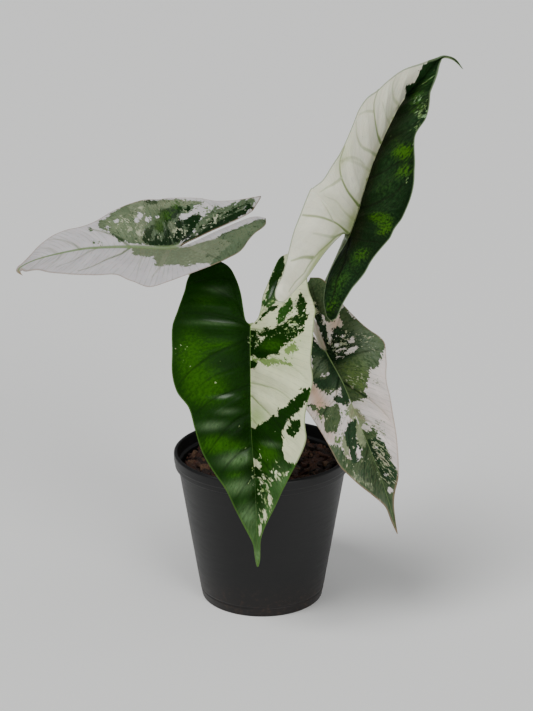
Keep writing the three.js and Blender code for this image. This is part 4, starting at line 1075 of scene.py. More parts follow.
# %% Stalk builder
STALK_SIDES = 40
STALK_BASE_RADIUS = 4
STALK_TOP_RADIUS = 2
STALK_SWELL = 0.5
STALK_SWELL_AT = 19
STALK_SWELL_REACH = 9
STALK_FLARE_FROM = 0.97
SHEATH_ENDS = (0.42, 0.12)
SHEATH_DEPTH = 0.16
CHANNEL_DEPTH = 0.1
CHANNEL_REACH = 0.42
LIP_ANGLE = 0.75
LIP_REACH = 0.22
INWARD_LEAN = 0.4
CAP_RISE = 1.6
PATTERN_RADIUS = 3
# Above 0 a cream tinge; below 0 painted shade in deep green, on the upright blade's stalk.
STALK_TINGE_AND_SHADE = {"right_low": 0.9, "upright": -0.8}


def stalk_radius(along, angle):
    """The radius at each distance along the stalk and angle from its inner side: a taper, a little
    thicker over its socket and at its blade, times a section that is cut by a channel, raised by
    two lips near the foot, and made uneven by slow waves."""
    u = along / along[-1]
    radius = STALK_BASE_RADIUS + (STALK_TOP_RADIUS - STALK_BASE_RADIUS) * u
    swell = bell(along - STALK_SWELL_AT, STALK_SWELL_REACH) + smooth(STALK_FLARE_FROM, 1, u)
    off = np.abs((angle + np.pi) % (2 * np.pi) - np.pi)
    sheath = SHEATH_DEPTH * smooth(*SHEATH_ENDS, u)
    lips = sheath * bell(off - LIP_ANGLE, LIP_REACH)
    section = 1 - (CHANNEL_DEPTH + sheath) * bell(off, CHANNEL_REACH) + lips
    waves = 0.012 * np.sin(5 * angle + 0.11 * along) + 0.01 * np.sin(0.35 * along)
    return (radius + STALK_SWELL * swell) * (section + waves)


def build_stalk(name):
    """The section is laid round the path, square to it. Both ends close to a point in the middle.
    Each point stores where it lies on a straight stalk, its height, and the stalk's own tinge."""
    centre, along = stalk_path(name)
    run = unit(np.gradient(centre, axis=0))
    turn = np.radians(STALKS[name][0])
    inward = np.array([-np.cos(turn), -np.sin(turn), INWARD_LEAN])
    inward = unit(inward - run * (run @ inward)[:, None])
    beside = np.cross(run, inward)
    angle = ring_angles(STALK_SIDES)
    reach = stalk_radius(along[:, None], angle)
    skin = (centre[:, None] + inward[:, None] * (reach * np.cos(angle))[..., None]
            + beside[:, None] * (reach * np.sin(angle))[..., None])
    poles = (centre[0], centre[-1] + run[-1] * CAP_RISE)
    foot, top = (np.broadcast_to(pole, (1, STALK_SIDES, 3)) for pole in poles)
    grid = np.concatenate([foot, skin, top])
    length = np.concatenate([along[:1], along, along[-1:]])[:, None] + 0 * angle
    values = {"stalk": turned(PATTERN_RADIUS, angle + 0 * length, length).reshape(-1, 3),
              "height": (length / along[-1]).ravel(),
              "tinge": np.full(length.size, STALK_TINGE_AND_SHADE.get(name, 0.0))}
    faces = whole_faces(globe_quads(*length.shape))
    return make_piece(f"leaf_stalk_{name}", grid.reshape(-1, 3), faces, values)


stalks = {name: build_stalk(name) for name in STALKS}

# %% [markdown]
# ## The stem
#
# The plant grows from a short thick stock, half sunk in the soil. Rings round it are the scars of
# old leaves, and dry fibres cling between them. It is a turned profile, made irregular by a few
# waves round and along it, which is closer to a living stock than a perfect lathe shape.

# %% Stem
STEM_PROFILE = [(0, 58), (11, 58), (13, 60), (13, 99), (12.3, 100.2), (12.8, 101.6), (12.7, 104.4),
                (12, 105.6), (12.4, 107), (12, 109.6), (10.8, 111.6), (8.5, 113), (0, 113)]
STEM_STEP = 0.6
STEM_SIDES = 128
STEM_SCALE = 0.975
SCAR_DEPTH = 0.02
SCAR_SPACING = 3.1
SCAR_TILT = 0.8
TOP_DIP = 0.8


def finer_profile(profile, step):
    """The same broken line with points at most step apart."""
    profile = np.asarray(profile, float)
    along = distances(profile)
    even = np.unique(np.concatenate([along, np.arange(0, along[-1], step)]))
    return np.stack([np.interp(even, along, profile[:, k]) for k in range(2)], axis=1)


def build_stem():
    """The profile turned round the upright axis, with its radius changed by waves that vanish at
    the axis: three and five broad lobes, tilted leaf-scar ridges, and 31 and 47 upright fibres.
    The top dips a little in its middle."""
    profile = finer_profile(STEM_PROFILE, STEM_STEP)
    r, z = profile[:, :1], profile[:, 1:]
    angle = ring_angles(STEM_SIDES)
    lobes = 0.018 * np.sin(3 * angle + 0.1 * z) + 0.012 * np.sin(5 * angle - 0.07 * z)
    scars = SCAR_DEPTH * np.sin(2 * np.pi * z / SCAR_SPACING + SCAR_TILT * np.sin(angle))
    fibres = (0.008 * np.sin(31 * angle + np.sin(0.9 * z))
              + 0.006 * np.sin(47 * angle - 1.3 * np.sin(0.7 * z)))
    reach = r * (STEM_SCALE + lobes + (scars + fibres) * smooth(6, 11, r))
    sunk = TOP_DIP * smooth(10, 0, r) * smooth(STEM_TOP - 1, STEM_TOP, z)
    grid = turned(reach, angle, z - sunk)
    return make_piece("stem_stock", grid.reshape(-1, 3), whole_faces(globe_quads(*grid.shape[:2])))


stem = build_stem()

# %% [markdown]
# ## Bark soil
#
# The pot is filled with damp bark mix. What is seen of it is its top: flat flakes and chunks of
# red-brown bark at every angle, with crumbs between them. A bumpy disc alone would look like
# mud, so a closed bed carries a thousand separate chips. All chips share one small rounded
# block, which is stretched, turned and placed for all of them at once.

# %% Soil bed
SOIL_BOTTOM = 2.3
SOIL_TOP = 94
SOIL_HEIGHT = [(0, 98), (16, 98), (26, 96.4), (38, 94.6), (52, 94)]
SOIL_FOOT = [(0, SOIL_BOTTOM), (38.7, SOIL_BOTTOM), (40.4, SOIL_BOTTOM + 1.6), (54.5, SOIL_TOP - 3)]
SOIL_GAP = 2.3
SOIL_RINGS = 46
SOIL_SIDES = 120
BED_SINK = 0.8
GRAIN_LENGTH = 3
BED_TINT = 0.2
POT_HEIGHT = 105.5
RIM_BAND = 11
BODY_TOP_RADIUS = 57
BASE_RADIUS = 42
WALL = 1.6


def body_radius(z):
    """Outer radius of the pot's tapered body at height z."""
    return BASE_RADIUS + (BODY_TOP_RADIUS - BASE_RADIUS) * z / (POT_HEIGHT - RIM_BAND)


def soil_bed():
    """A closed plug: its side follows the pot, and its top is lifted by broad and fine crumbs,
    each the product of a wave across and a wave along. The top lies a little low, so that the
    chips stand on it. Also its faces, and the grain and tint of each point."""
    edge = body_radius(SOIL_TOP) - WALL - SOIL_GAP
    rings = np.linspace(edge, 0, SOIL_RINGS)
    profile = np.concatenate([SOIL_FOOT, np.stack([rings, held(SOIL_HEIGHT, rings)], axis=1)])
    r, z = profile[:, :1], profile[:, 1:]
    grid = turned(r, ring_angles(SOIL_SIDES), z)
    x, y = grid[..., 0], grid[..., 1]
    broad = 0.5 * np.sin(0.9 * x + 2 * np.sin(0.31 * y)) * np.sin(1.1 * y + 2 * np.sin(0.27 * x))
    fine = 0.3 * np.sin(2.3 * x + y) * np.sin(2.1 * y - x)
    on_top = z > SOIL_TOP - 1
    grid[..., 2] = z + (broad + fine) * on_top * smooth(edge, edge - 3, r) - BED_SINK * on_top
    points = grid.reshape(-1, 3)
    tint = np.full((len(points), 1), BED_TINT)
    return points, globe_quads(*x.shape), np.concatenate([points[:, :2] / GRAIN_LENGTH, tint], axis=1)


# %% Bark chips
GOLDEN_ANGLE = np.pi * (3 - np.sqrt(5))
CHIP_SQUARENESS = 0.55
CHIP_ROUGHNESS = 0.16
CHIP_LEAN = 0.42
CHIP_LEAN_LIMIT = 1.6
CHIP_STRAY = 0.4
CHIP_LIFT = 0.9
CHIP_RISE = 0.1
TINT_STEP = 10
CHIP_KINDS = [
    dict(count=150, ring=(18, 49), sizes=[(7, 14), (4, 8), (1.6, 3.4)], around=9, along=6, seed=3),
    dict(count=230, ring=(15, 51), sizes=[(4, 8), (3, 5.5), (1.6, 3.6)], around=8, along=5, seed=5),
    dict(count=620, ring=(14, 53), sizes=[(1.6, 3.4), (1.3, 2.6), (1, 2.2)], around=6, along=4, seed=9),
]


def rotations(yaw, pitch, roll):
    """Turning matrices for many chips: first rolled and pitched a little, then turned round."""
    cy, sy, cp, sp, cr, sr = (f(v) for v in (yaw, pitch, roll) for f in (np.cos, np.sin))
    rows = [[cy * cp, cy * sp * sr - sy * cr, cy * sp * cr + sy * sr],
            [sy * cp, sy * sp * sr + cy * cr, sy * sp * cr - cy * sr],
            [-sp, cp * sr, cp * cr]]
    return np.array(rows).transpose(2, 0, 1)


def chips(count, ring, sizes, around, along, seed):
    """count rounded blocks on a spiral over the soil. A block is a globe whose three coordinates
    are raised to a power below 1, which squares it, then roughened, stretched and turned. Also
    their faces, and the grain of each point: its place in its own chip, with the chip's tint."""
    rng = np.random.default_rng(seed)
    phi = np.linspace(-np.pi / 2, np.pi / 2, along)[:, None]
    globe = turned(np.cos(phi), ring_angles(around), np.sin(phi))
    block = (np.sign(globe) * np.abs(globe) ** CHIP_SQUARENESS).reshape(-1, 3) / 2
    rough = 1 + CHIP_ROUGHNESS * rng.standard_normal((count, len(block), 1))
    size = np.stack([rng.uniform(*span, count) for span in sizes], axis=1)
    local = block[None] * rough * size[:, None]
    share = (np.arange(count) + rng.uniform(0, 1, count)) / count
    r = ring[0] + (ring[1] - ring[0]) * np.sqrt(share)
    turn = np.arange(count) * GOLDEN_ANGLE + rng.uniform(-CHIP_STRAY, CHIP_STRAY, count)
    lean = CHIP_LEAN * rng.standard_normal((2, count)).clip(-CHIP_LEAN_LIMIT, CHIP_LEAN_LIMIT)
    matrix = rotations(rng.uniform(0, 2 * np.pi, count), *lean)
    lift = rng.uniform(-CHIP_LIFT, CHIP_LIFT, count)
    place = turned(r, turn, held(SOIL_HEIGHT, r) + lift + CHIP_RISE * size[:, 2])
    points = np.einsum("nij,nvj->nvi", matrix, local) + place[:, None]
    faces = globe_quads(along, around)[None] + (np.arange(count) * len(block))[:, None, None]
    tint = np.broadcast_to(rng.uniform(0, 1, count)[:, None, None], local[..., :1].shape)
    grain = np.concatenate([local[..., :2] + TINT_STEP * tint, tint], axis=-1)
    return points.reshape(-1, 3), faces.reshape(-1, 4), grain.reshape(-1, 3)


def build_soil():
    """The bed, big flakes, chunks and crumbs as one mesh of closed shells."""
    points, faces, grain = zip(soil_bed(), *[chips(**kind) for kind in CHIP_KINDS])
    starts = np.cumsum([0] + [len(part) for part in points[:-1]])
    faces = np.concatenate([part + start for part, start in zip(faces, starts)])
    return make_piece("bark_soil", np.concatenate(points), whole_faces(faces),
                      {"grain": np.concatenate(grain)}, crease=40)


soil = build_soil()

# %% [markdown]
# ## The pot
#
# A thin black nursery pot: a tapered cup with a turned-out rim band and drain holes round its
# floor. Cutting the holes with a boolean would leave long thin triangles, so the floor is laid
# out as six wedges instead. In each wedge, straight lines run from the hole's edge to the wedge's
# edge. The wall is one profile turned round the axis at the same angles, so that all meets.

# %% Pot profile
FLOOR = 2
RIM_RADIUS = 60
RIM_LOW = POT_HEIGHT - RIM_BAND
CORNER_CUT = 0.6
CORNER_POINTS = 6


def rounded(profile, cut):
    """Replaces each corner of a broken line by a curve that starts and ends cut away from it, or
    half way along a shorter side. The curve is the usual one through two points and a corner."""
    profile = np.asarray(profile, float)
    corner = profile[1:-1]
    ends = []
    for other in (profile[:-2], profile[2:]):
        away = other - corner
        length = np.linalg.norm(away, axis=1, keepdims=True)
        ends.append((corner + away * np.minimum(cut / length, 0.5))[:, None])
    t = np.linspace(0, 1, CORNER_POINTS)[None, :, None]
    bends = (1 - t) ** 2 * ends[0] + 2 * t * (1 - t) * corner[:, None] + t**2 * ends[1]
    return np.concatenate([profile[:1], bends.reshape(-1, 2), profile[-1:]])


POT_PROFILE = rounded([
    (BASE_RADIUS - 1.5, 0), (BASE_RADIUS - 0.2, 0.1), (BASE_RADIUS, 1.5), (body_radius(6), 6),
    (body_radius(6.4) - 0.3, 6.6), (body_radius(7.4) - 0.3, 7.2), (body_radius(7.8), 7.8),
    (body_radius(RIM_LOW), RIM_LOW), (RIM_RADIUS - 0.8, RIM_LOW + 0.6), (RIM_RADIUS - 0.5, RIM_LOW + 4),
    (RIM_RADIUS - 0.15, RIM_LOW + 4.3), (RIM_RADIUS, POT_HEIGHT - 1.2), (RIM_RADIUS - 1.2, POT_HEIGHT),
    (RIM_RADIUS - WALL - 0.8, POT_HEIGHT - 0.4), (RIM_RADIUS - WALL - 1.4, RIM_LOW + 2.4),
    (body_radius(RIM_LOW) - WALL, RIM_LOW + 1.4), (BASE_RADIUS - WALL + 0.3, FLOOR + 1),
    (BASE_RADIUS - WALL - 1, FLOOR)], CORNER_CUT)
print("pot profile points:", len(POT_PROFILE))

# %% Pot builder
DRAIN_RADIUS = 5
DRAIN_RING = 28
DRAIN_COUNT = 6
ARC_STEPS = 30
SIDE_STEPS = 12
FLOOR_ROWS = 6
SAME_PLACE_DECIMALS = 3


def wedges(edge_radius, z):
    """The floor's six wedges at height z: rows from a hole's edge out to the wedge's edge."""
    half = np.pi / DRAIN_COUNT
    arc = np.linspace(-half, half, ARC_STEPS + 1)
    out = np.linspace(1, 0, SIDE_STEPS + 1)[1:] * edge_radius
    back = out[::-1][1:]
    r = np.concatenate([np.full(arc.size, edge_radius), out, back])
    angle = np.concatenate([arc, np.full(out.size, half), np.full(back.size, -half)])
    edge = turned(r, angle, 0)[:, :2]
    centre = np.array([DRAIN_RING, 0])
    hole = centre + DRAIN_RADIUS * unit(edge - centre)
    v = np.linspace(0, 1, FLOOR_ROWS)[:, None, None]
    x, y = np.moveaxis(hole * (1 - v) + edge * v, -1, 0)
    turn = (2 * np.pi * (np.arange(DRAIN_COUNT) + 0.5) / DRAIN_COUNT)[:, None, None]
    c, s = np.cos(turn), np.sin(turn)
    return np.stack([c * x - s * y, s * x + c * y, np.full((DRAIN_COUNT, *x.shape), float(z))], axis=-1)


def build_pot():
    """Floor from below and above, hole walls and turned wall, joined where their points meet."""
    sheets = []
    for low, high in zip(wedges(BASE_RADIUS - 1.5, 0), wedges(BASE_RADIUS - WALL - 1, FLOOR)):
        sheets += [(low, False), (high, True), (np.stack([low[0], high[0]]), True)]
    wall = turned(POT_PROFILE[:, :1], ring_angles(DRAIN_COUNT * ARC_STEPS), POT_PROFILE[:, 1:])
    sheets.append((wall, False))
    points, numbers = number_grids([grid for grid, _ in sheets])
    faces = np.concatenate([turned_over(ring_quads(index), turn)
                            for index, (_, turn) in zip(numbers, sheets)])
    _, first, same = np.unique(np.round(points, SAME_PLACE_DECIMALS), axis=0,
                               return_index=True, return_inverse=True)
    return make_piece("nursery_pot", points[first], whole_faces(same.ravel()[faces]), crease=35)


pot = build_pot()

# %% [markdown]
# ## Shader tools
#
# The finishes are made of shader nodes. Writing each node and link by hand is long, so a few
# helpers keep it readable. Nodes works in one node tree: put adds a node and fills its inputs
# with values or with other nodes' outputs, and the rest are short names for sums, ramps, mixes
# and patterns. Group is a node group with named inputs and outputs, and Finish is a material.

# %% Nodes
class Nodes:
    """Adds shader nodes to one node tree."""

    def __init__(self, tree):
        self.tree = tree

    def put(self, kind, inputs=None, **settings):
        """Adds a node. inputs maps a socket's name or number to a value or another node's output."""
        node = self.tree.nodes.new(kind)
        for title, value in settings.items():
            setattr(node, title, value)
        for key, value in (inputs or {}).items():
            if isinstance(value, bpy.types.NodeSocket):
                self.tree.links.new(value, node.inputs[key])
            else:
                node.inputs[key].default_value = value
        return node

    def calc(self, operation, *terms):
        """One sum: terms are numbers or outputs."""
        return self.put("ShaderNodeMath", dict(enumerate(terms)), operation=operation).outputs[0]

    def times(self, *terms):
        """The product of all terms."""
        return reduce(partial(self.calc, "MULTIPLY"), terms)

    def plus(self, *terms):
        """The sum of all terms."""
        return reduce(partial(self.calc, "ADD"), terms)

    def minus(self, first, second):
        """What is left of first without second."""
        return self.calc("SUBTRACT", first, second)

    def larger(self, first, second):
        """The larger of the two."""
        return self.calc("MAXIMUM", first, second)

    def ramp(self, value, low, high, to_low=0.0, to_high=1.0):
        """A soft step from to_low to to_high while value goes from low to high."""
        inputs = {"Value": value, "From Min": low, "From Max": high, "To Min": to_low, "To Max": to_high}
        return self.put("ShaderNodeMapRange", inputs, interpolation_type="SMOOTHSTEP").outputs["Result"]

    def paint(self, color, *layers):
        """Lays colours over a colour, each by its mask. Colours are outputs or tuples of red,
        green and blue."""
        for mask, over in layers:
            first, second = ((*part, 1) if isinstance(part, tuple) else part for part in (color, over))
            color = self.put("ShaderNodeMix", {0: mask, 6: first, 7: second}, data_type="RGBA").outputs[2]
        return color

    def parts(self, vector):
        """The three numbers of a vector."""
        return self.put("ShaderNodeSeparateXYZ", {0: vector}).outputs

    def stored(self, name, output="Vector"):
        """What the mesh stores on its points under this name: Vector, or Fac for one number."""
        return self.put("ShaderNodeAttribute", attribute_name=name).outputs[output]

    def in_object(self):
        """The place on the object, in metres."""
        return self.put("ShaderNodeTexCoord").outputs["Object"]

    def stretched(self, vector, scale):
        """The vector, scaled by its own factor along each axis."""
        return self.put("ShaderNodeMapping", {"Vector": vector, "Scale": scale}).outputs[0]

    def noise(self, vector, scale, detail=4.0, roughness=0.5):
        """Cloudy noise. scale is how fine it is, or three such numbers, one along each axis."""
        if isinstance(scale, tuple):
            vector, scale = self.stretched(vector, scale), 1.0
        inputs = {"Vector": vector, "Scale": scale, "Detail": detail, "Roughness": roughness}
        return self.put("ShaderNodeTexNoise", inputs).outputs["Fac"]

    def use(self, made, **inputs):
        """Places a group here with its own values. An input's name has _ for each space."""
        named = {title.replace("_", " "): value for title, value in inputs.items()}
        return self.put("ShaderNodeGroup", named, node_tree=made.tree).outputs


# %% Groups, materials and colours
FLOAT, VECTOR = "NodeSocketFloat", "NodeSocketVector"


class Group(Nodes):
    """An empty node group. inputs maps a name to a socket type and default, outputs to a type."""

    def __init__(self, name, inputs, outputs):
        super().__init__(bpy.data.node_groups.new(name, "ShaderNodeTree"))
        for title, (kind, value) in inputs.items():
            socket = self.tree.interface.new_socket(title, in_out="INPUT", socket_type=kind)
            if value is not None:
                socket.default_value = value
        for title, kind in outputs.items():
            self.tree.interface.new_socket(title, in_out="OUTPUT", socket_type=kind)
        self.given = self.tree.nodes.new("NodeGroupInput").outputs
        self.result = self.tree.nodes.new("NodeGroupOutput").inputs

    def give(self, **outputs):
        """Links the group's outputs, which completes it."""
        for title, value in outputs.items():
            self.tree.links.new(value, self.result[title])
        print("group:", self.tree.name)
        return self


class Finish(Nodes):
    """A new material with its Principled shader, and constants set on the shader's own sockets."""

    def __init__(self, name, color, roughness, **sockets):
        self.material = bpy.data.materials.new(name)
        self.material.use_nodes = True
        super().__init__(self.material.node_tree)
        self.shader = self.tree.nodes["Principled BSDF"]
        self.shader.inputs["Base Color"].default_value = (*color, 1)
        self.shader.inputs["Roughness"].default_value = roughness
        for title, value in sockets.items():
            self.shader.inputs[title.replace("_", " ")].default_value = value

    def dress(self, color, roughness, height, strength, depth):
        """Gives the shader its colour, its roughness and bumps of a height up to depth in metres."""
        bumps = self.put("ShaderNodeBump", {"Height": height, "Strength": strength, "Distance": depth})
        links = {"Base Color": color, "Roughness": roughness, "Normal": bumps.outputs[0]}
        for title, value in links.items():
            self.tree.links.new(value, self.shader.inputs[title])
        return self.material


def srgb(red, green, blue):
    """A colour as seen on a screen, 0 to 255, as the linear values that a shader takes."""
    c = np.array([red, green, blue]) / 255
    return tuple(np.where(c <= 0.04045, c / 12.92, ((c + 0.055) / 1.055) ** 2.4).tolist())


def tints(colors):
    """A table of screen colours as linear ones."""
    return {title: srgb(*color) for title, color in colors.items()}


# %% [markdown]
# ## Ragged patches and flecks
#
# A patch of variegation ends where the last green cell ends, so its edge is a fine staircase that
# follows the smallest veins. A noise texture alone gives a cloudy edge. Here the distance from
# the drawn outline is shifted by a random amount for each cell of three Voronoi patterns, coarse
# to fine, so whole little blocks fall inside or outside the patch. Near the midrib the shift
# fades, because there the colours part along a clean line. Flecks use such cells too: a cell
# changes colour where its random number is below the density stored there.
#
# The patterns are laid on the vein count instead of y, so that blocks and flecks run along the
# side veins, as the leaf's cells do.

# %% Group: flow along the veins
FLOW_PER_VEIN = 15.0


def flow_along_veins():
    """The leaf's x with, in place of y, the vein count times its usual spacing in mm."""
    nodes = Group("Flow along veins", {"Leaf": (VECTOR, None)}, {"Flow": VECTOR})
    leaf_x, _, leaf_s = nodes.parts(nodes.given["Leaf"])
    flow = nodes.put("ShaderNodeCombineXYZ", {0: leaf_x, 1: nodes.times(leaf_s, FLOW_PER_VEIN)})
    return nodes.give(Flow=flow.outputs[0])


flow_group = flow_along_veins()


# %% Random cells
CELL_DISORDER = 0.9


def random_cells(nodes, size, slim):
    """A random number from 0 to 1 for each cell, about size mm across the veins and size / slim
    along them. The group's Move shifts the cells, so that no two patterns match."""
    flow, move = nodes.given["Flow"], nodes.given["Move"]
    moved = nodes.put("ShaderNodeVectorMath", {0: flow, 1: move}, operation="ADD")
    where = nodes.stretched(moved.outputs[0], (slim / size, 1 / size, 0))
    cells = nodes.put("ShaderNodeTexVoronoi", {"Vector": where, "Scale": 1.0, "Randomness": CELL_DISORDER},
                      voronoi_dimensions="2D")
    return nodes.parts(cells.outputs["Color"])[0]


def weighted_cells(nodes, slim, layers):
    """The sum of several cell patterns, each centred on 0 and scaled by its share."""
    return nodes.plus(*[nodes.times(nodes.minus(random_cells(nodes, size, slim), 0.5), share)
                        for size, share in layers])


# %% Group: ragged patch
# Cells as (size in mm, share). PATCH_SLIM is their width across the veins over their length.
PATCH_CELLS = [(3.4, 0.7), (1.7, 1.0), (0.8, 0.7)]
PATCH_SLIM = 0.85
EDGE_SOFTNESS = 0.18
# Near the midrib only a small share of the shift is left. It is whole from 3.5 mm out.
CLEAN_ZONE = (1.2, 3.5)
CLEAN_SHARE = 0.05


def ragged_patch():
    """1 inside a patch: where its distance, shifted cell by cell, is above 0."""
    nodes = Group("Ragged patch", {"Distance": (FLOAT, -6), "Flow": (VECTOR, None), "Ragged": (FLOAT, 1.6),
                                   "Move": (VECTOR, None)}, {"Mask": FLOAT})
    shift = weighted_cells(nodes, PATCH_SLIM, PATCH_CELLS)
    across = nodes.calc("ABSOLUTE", nodes.parts(nodes.given["Flow"])[0])
    clean = nodes.ramp(across, *CLEAN_ZONE, CLEAN_SHARE, 1)
    edge = nodes.plus(nodes.given["Distance"], nodes.times(shift, nodes.given["Ragged"], clean))
    return nodes.give(Mask=nodes.ramp(edge, -EDGE_SOFTNESS, EDGE_SOFTNESS))


patch_group = ragged_patch()

# %% Group: flecks
FLECK_CELLS = [(2.4, 0.4), (1.2, 0.48), (0.6, 0.4)]
FLECK_SLIM = 0.75
FLECK_LIMIT = 0.62
FLECK_SOFTNESS = 0.03


def flecks():
    """1 on a fleck: where the cells' sum is above a limit that sinks with the density."""
    nodes = Group("Flecks", {"Density": (FLOAT, 0), "Flow": (VECTOR, None), "Move": (VECTOR, None)},
                  {"Mask": FLOAT})
    pick = weighted_cells(nodes, FLECK_SLIM, FLECK_CELLS)
    above = nodes.minus(pick, nodes.minus(FLECK_LIMIT, nodes.given["Density"]))
    return nodes.give(Mask=nodes.ramp(above, -FLECK_SOFTNESS, FLECK_SOFTNESS))


fleck_group = flecks()

# %% [markdown]
# ## Veins
#
# The strong side veins come from the distance stored on the mesh. Between them run fine veins in
# even arcs: where the vein count times five is whole, there is one, and times the spacing it
# gives a distance in millimetres. The ribs and the margin come from their distances too. A little
# noise makes the fine veins wander.

# %% Group: veins
FINE_VEINS = 5.0
WANDER = 1.6
WANDER_SCALE = (0.14, 0.14, 0)
# How far out each line ends and how far out it is still whole: shares of their widths for the
# side veins and the midrib, mm for the rest. RIB_FOOT is where along it the midrib begins.
SIDE_EDGES = (1, 0.3)
RIB_EDGES = (1.3, 0.6)
VALLEY_EDGES = (2.4, 0.2)
FINE_EDGES = (0.32, 0.04)
MARGIN_EDGES = (0.7, 0.2)
RIB_END_WIDTH = 0.3
RIB_FOOT = (-5, 1)


def veins():
    """Masks of the side veins and of the valleys beside them, of the fine veins, of the midrib,
    which thins towards the tip, and of the margin."""
    nodes = Group("Veins", {"Leaf": (VECTOR, None), "Vein": (VECTOR, None), "Gap": (FLOAT, 15),
                            "Rim": (FLOAT, 6), "Length": (FLOAT, 150), "Rib Width": (FLOAT, 0.5),
                            "Side Width": (FLOAT, 0.8)},
                  {"Side": FLOAT, "Valley": FLOAT, "Fine": FLOAT, "Rib": FLOAT, "Margin": FLOAT})
    given = nodes.given
    _, leaf_y, leaf_s = nodes.parts(given["Leaf"])
    rib, away, strength = nodes.parts(given["Vein"])
    side = nodes.ramp(nodes.calc("DIVIDE", away, given["Side Width"]), *SIDE_EDGES)
    valley = nodes.ramp(away, *VALLEY_EDGES)
    waves = nodes.noise(given["Leaf"], WANDER_SCALE, 2)
    wander = nodes.times(nodes.minus(waves, 0.5), WANDER)
    near = nodes.calc("PINGPONG", nodes.times(leaf_s, FINE_VEINS), 0.5)
    apart = nodes.calc("DIVIDE", nodes.times(near, given["Gap"]), FINE_VEINS)
    fine = nodes.calc("ABSOLUTE", nodes.plus(apart, wander))
    taper = nodes.ramp(nodes.calc("DIVIDE", leaf_y, given["Length"]), -0.1, 1, 1, RIB_END_WIDTH)
    width = nodes.times(taper, given["Rib Width"])
    on_rib = nodes.ramp(rib, *[nodes.times(width, share) for share in RIB_EDGES])
    return nodes.give(Side=nodes.times(side, strength), Valley=nodes.times(valley, strength),
                      Fine=nodes.ramp(fine, *FINE_EDGES),
                      Rib=nodes.times(on_rib, nodes.ramp(leaf_y, *RIB_FOOT)),
                      Margin=nodes.ramp(given["Rim"], *MARGIN_EDGES))


vein_group = veins()

# %% [markdown]
# ## Skin of the leaf
#
# Close up, the leaf is not smooth: a net of tiny veins divides it into cells of about a
# millimetre, each slightly domed, inside bigger cushions of a few millimetres. The gloss is
# broken by dust and dried water drops. The group gives a height for a Bump node, a value for the
# roughness, and a coarse and a fine variation for the colours.

# %% Group: leaf skin
CELL_SIZE = 1.3
CUSHION_SIZE = 4.2
CUSHION_HEIGHT = 1.6
DOME_SLIM = 0.7
DOME_EDGE = 0.32
DUST_SCALE = (0.5, 0.5, 0)
CLOUD_SCALE = (0.09, 0.12, 0)
MOTTLE_SCALE = (0.5, 0.7, 0)
CLOUD_EDGES = (0.35, 0.65)
DUST_EDGES = (0.45, 0.75)
DUST_ROUGHNESS = 0.16


def domes(nodes, size):
    """Height of cells of the given size: 0 along their borders and 1 in their middles."""
    where = nodes.stretched(nodes.given["Flow"], (DOME_SLIM / size, 1 / size, 0))
    border = nodes.put("ShaderNodeTexVoronoi", {"Vector": where, "Scale": 1.0},
                       voronoi_dimensions="2D", feature="DISTANCE_TO_EDGE").outputs["Distance"]
    return nodes.ramp(border, 0, DOME_EDGE)


def leaf_skin():
    """Domes and dust for the height, dust for the roughness, and two clouds for the colours."""
    nodes = Group("Leaf skin", {"Flow": (VECTOR, None), "Gloss": (FLOAT, 0.3)},
                  {"Height": FLOAT, "Roughness": FLOAT, "Cloud": FLOAT, "Mottle": FLOAT})
    flow = nodes.given["Flow"]
    dust = nodes.noise(flow, DUST_SCALE, 6, 0.7)
    cloud = nodes.noise(flow, CLOUD_SCALE, 4, 0.6)
    mottle = nodes.noise(flow, MOTTLE_SCALE, 3, 0.6)
    cushions = nodes.times(domes(nodes, CUSHION_SIZE), CUSHION_HEIGHT)
    dusty = nodes.ramp(dust, *DUST_EDGES, 0, DUST_ROUGHNESS)
    return nodes.give(Height=nodes.plus(domes(nodes, CELL_SIZE), cushions, dust),
                      Roughness=nodes.plus(nodes.given["Gloss"], dusty),
                      Cloud=nodes.ramp(cloud, *CLOUD_EDGES), Mottle=nodes.ramp(mottle, *CLOUD_EDGES))


skin_group = leaf_skin()

# %% [markdown]
# ## The leaf material
#
# The colours are laid over one another as in the leaf: cream, then green flecks, then green, sage
# and deep green patches, then painted glow of light coming through, a greyer bloom with painted
# sheen and highlights, deeper green with painted shadow, painted shade in the valleys beside the
# side veins, and marbled cells, cream flecks, a tinge beside the side veins of the cream, the veins,
# the midrib, the thin margin and the dry tip. The green parts have a clear waxy coat that gleams
# in places, which gives the soft highlights. The underside is paler and matt, with the same
# pattern showing through. Painted image maps could do the same, but would fix the detail at one
# size.

# %% Leaf colours
LEAF_COLOURS = {}
LEAF_COLOURS["front"] = {
    "base": (222, 227, 186), "pale": (134, 164, 92), "mid": (44, 88, 26), "dark": (16, 54, 0),
    "glow": (44, 94, 0), "bloom_and_sheen": (100, 136, 82), "shadow_and_deep_green": (6, 30, 0), "blush": (176, 198, 134),
    "fleck": (200, 210, 166), "pepper": (96, 140, 62), "vein_light": (112, 128, 82),
    "vein_dark": (12, 44, 0), "rib": (88, 124, 54), "rim": (76, 112, 44)
}
LEAF_COLOURS["left"] = {
    "base": (198, 194, 195), "pale": (122, 133, 105), "mid": (94, 111, 83), "dark": (16, 44, 14),
    "glow": (50, 88, 16), "bloom_and_sheen": (138, 150, 116), "shadow_and_deep_green": (8, 26, 8), "blush": (186, 178, 154),
    "fleck": (176, 180, 152), "pepper": (106, 124, 86), "vein_light": (104, 116, 92),
    "vein_dark": (44, 66, 36), "rib": (112, 132, 88), "rim": (150, 128, 104)
}
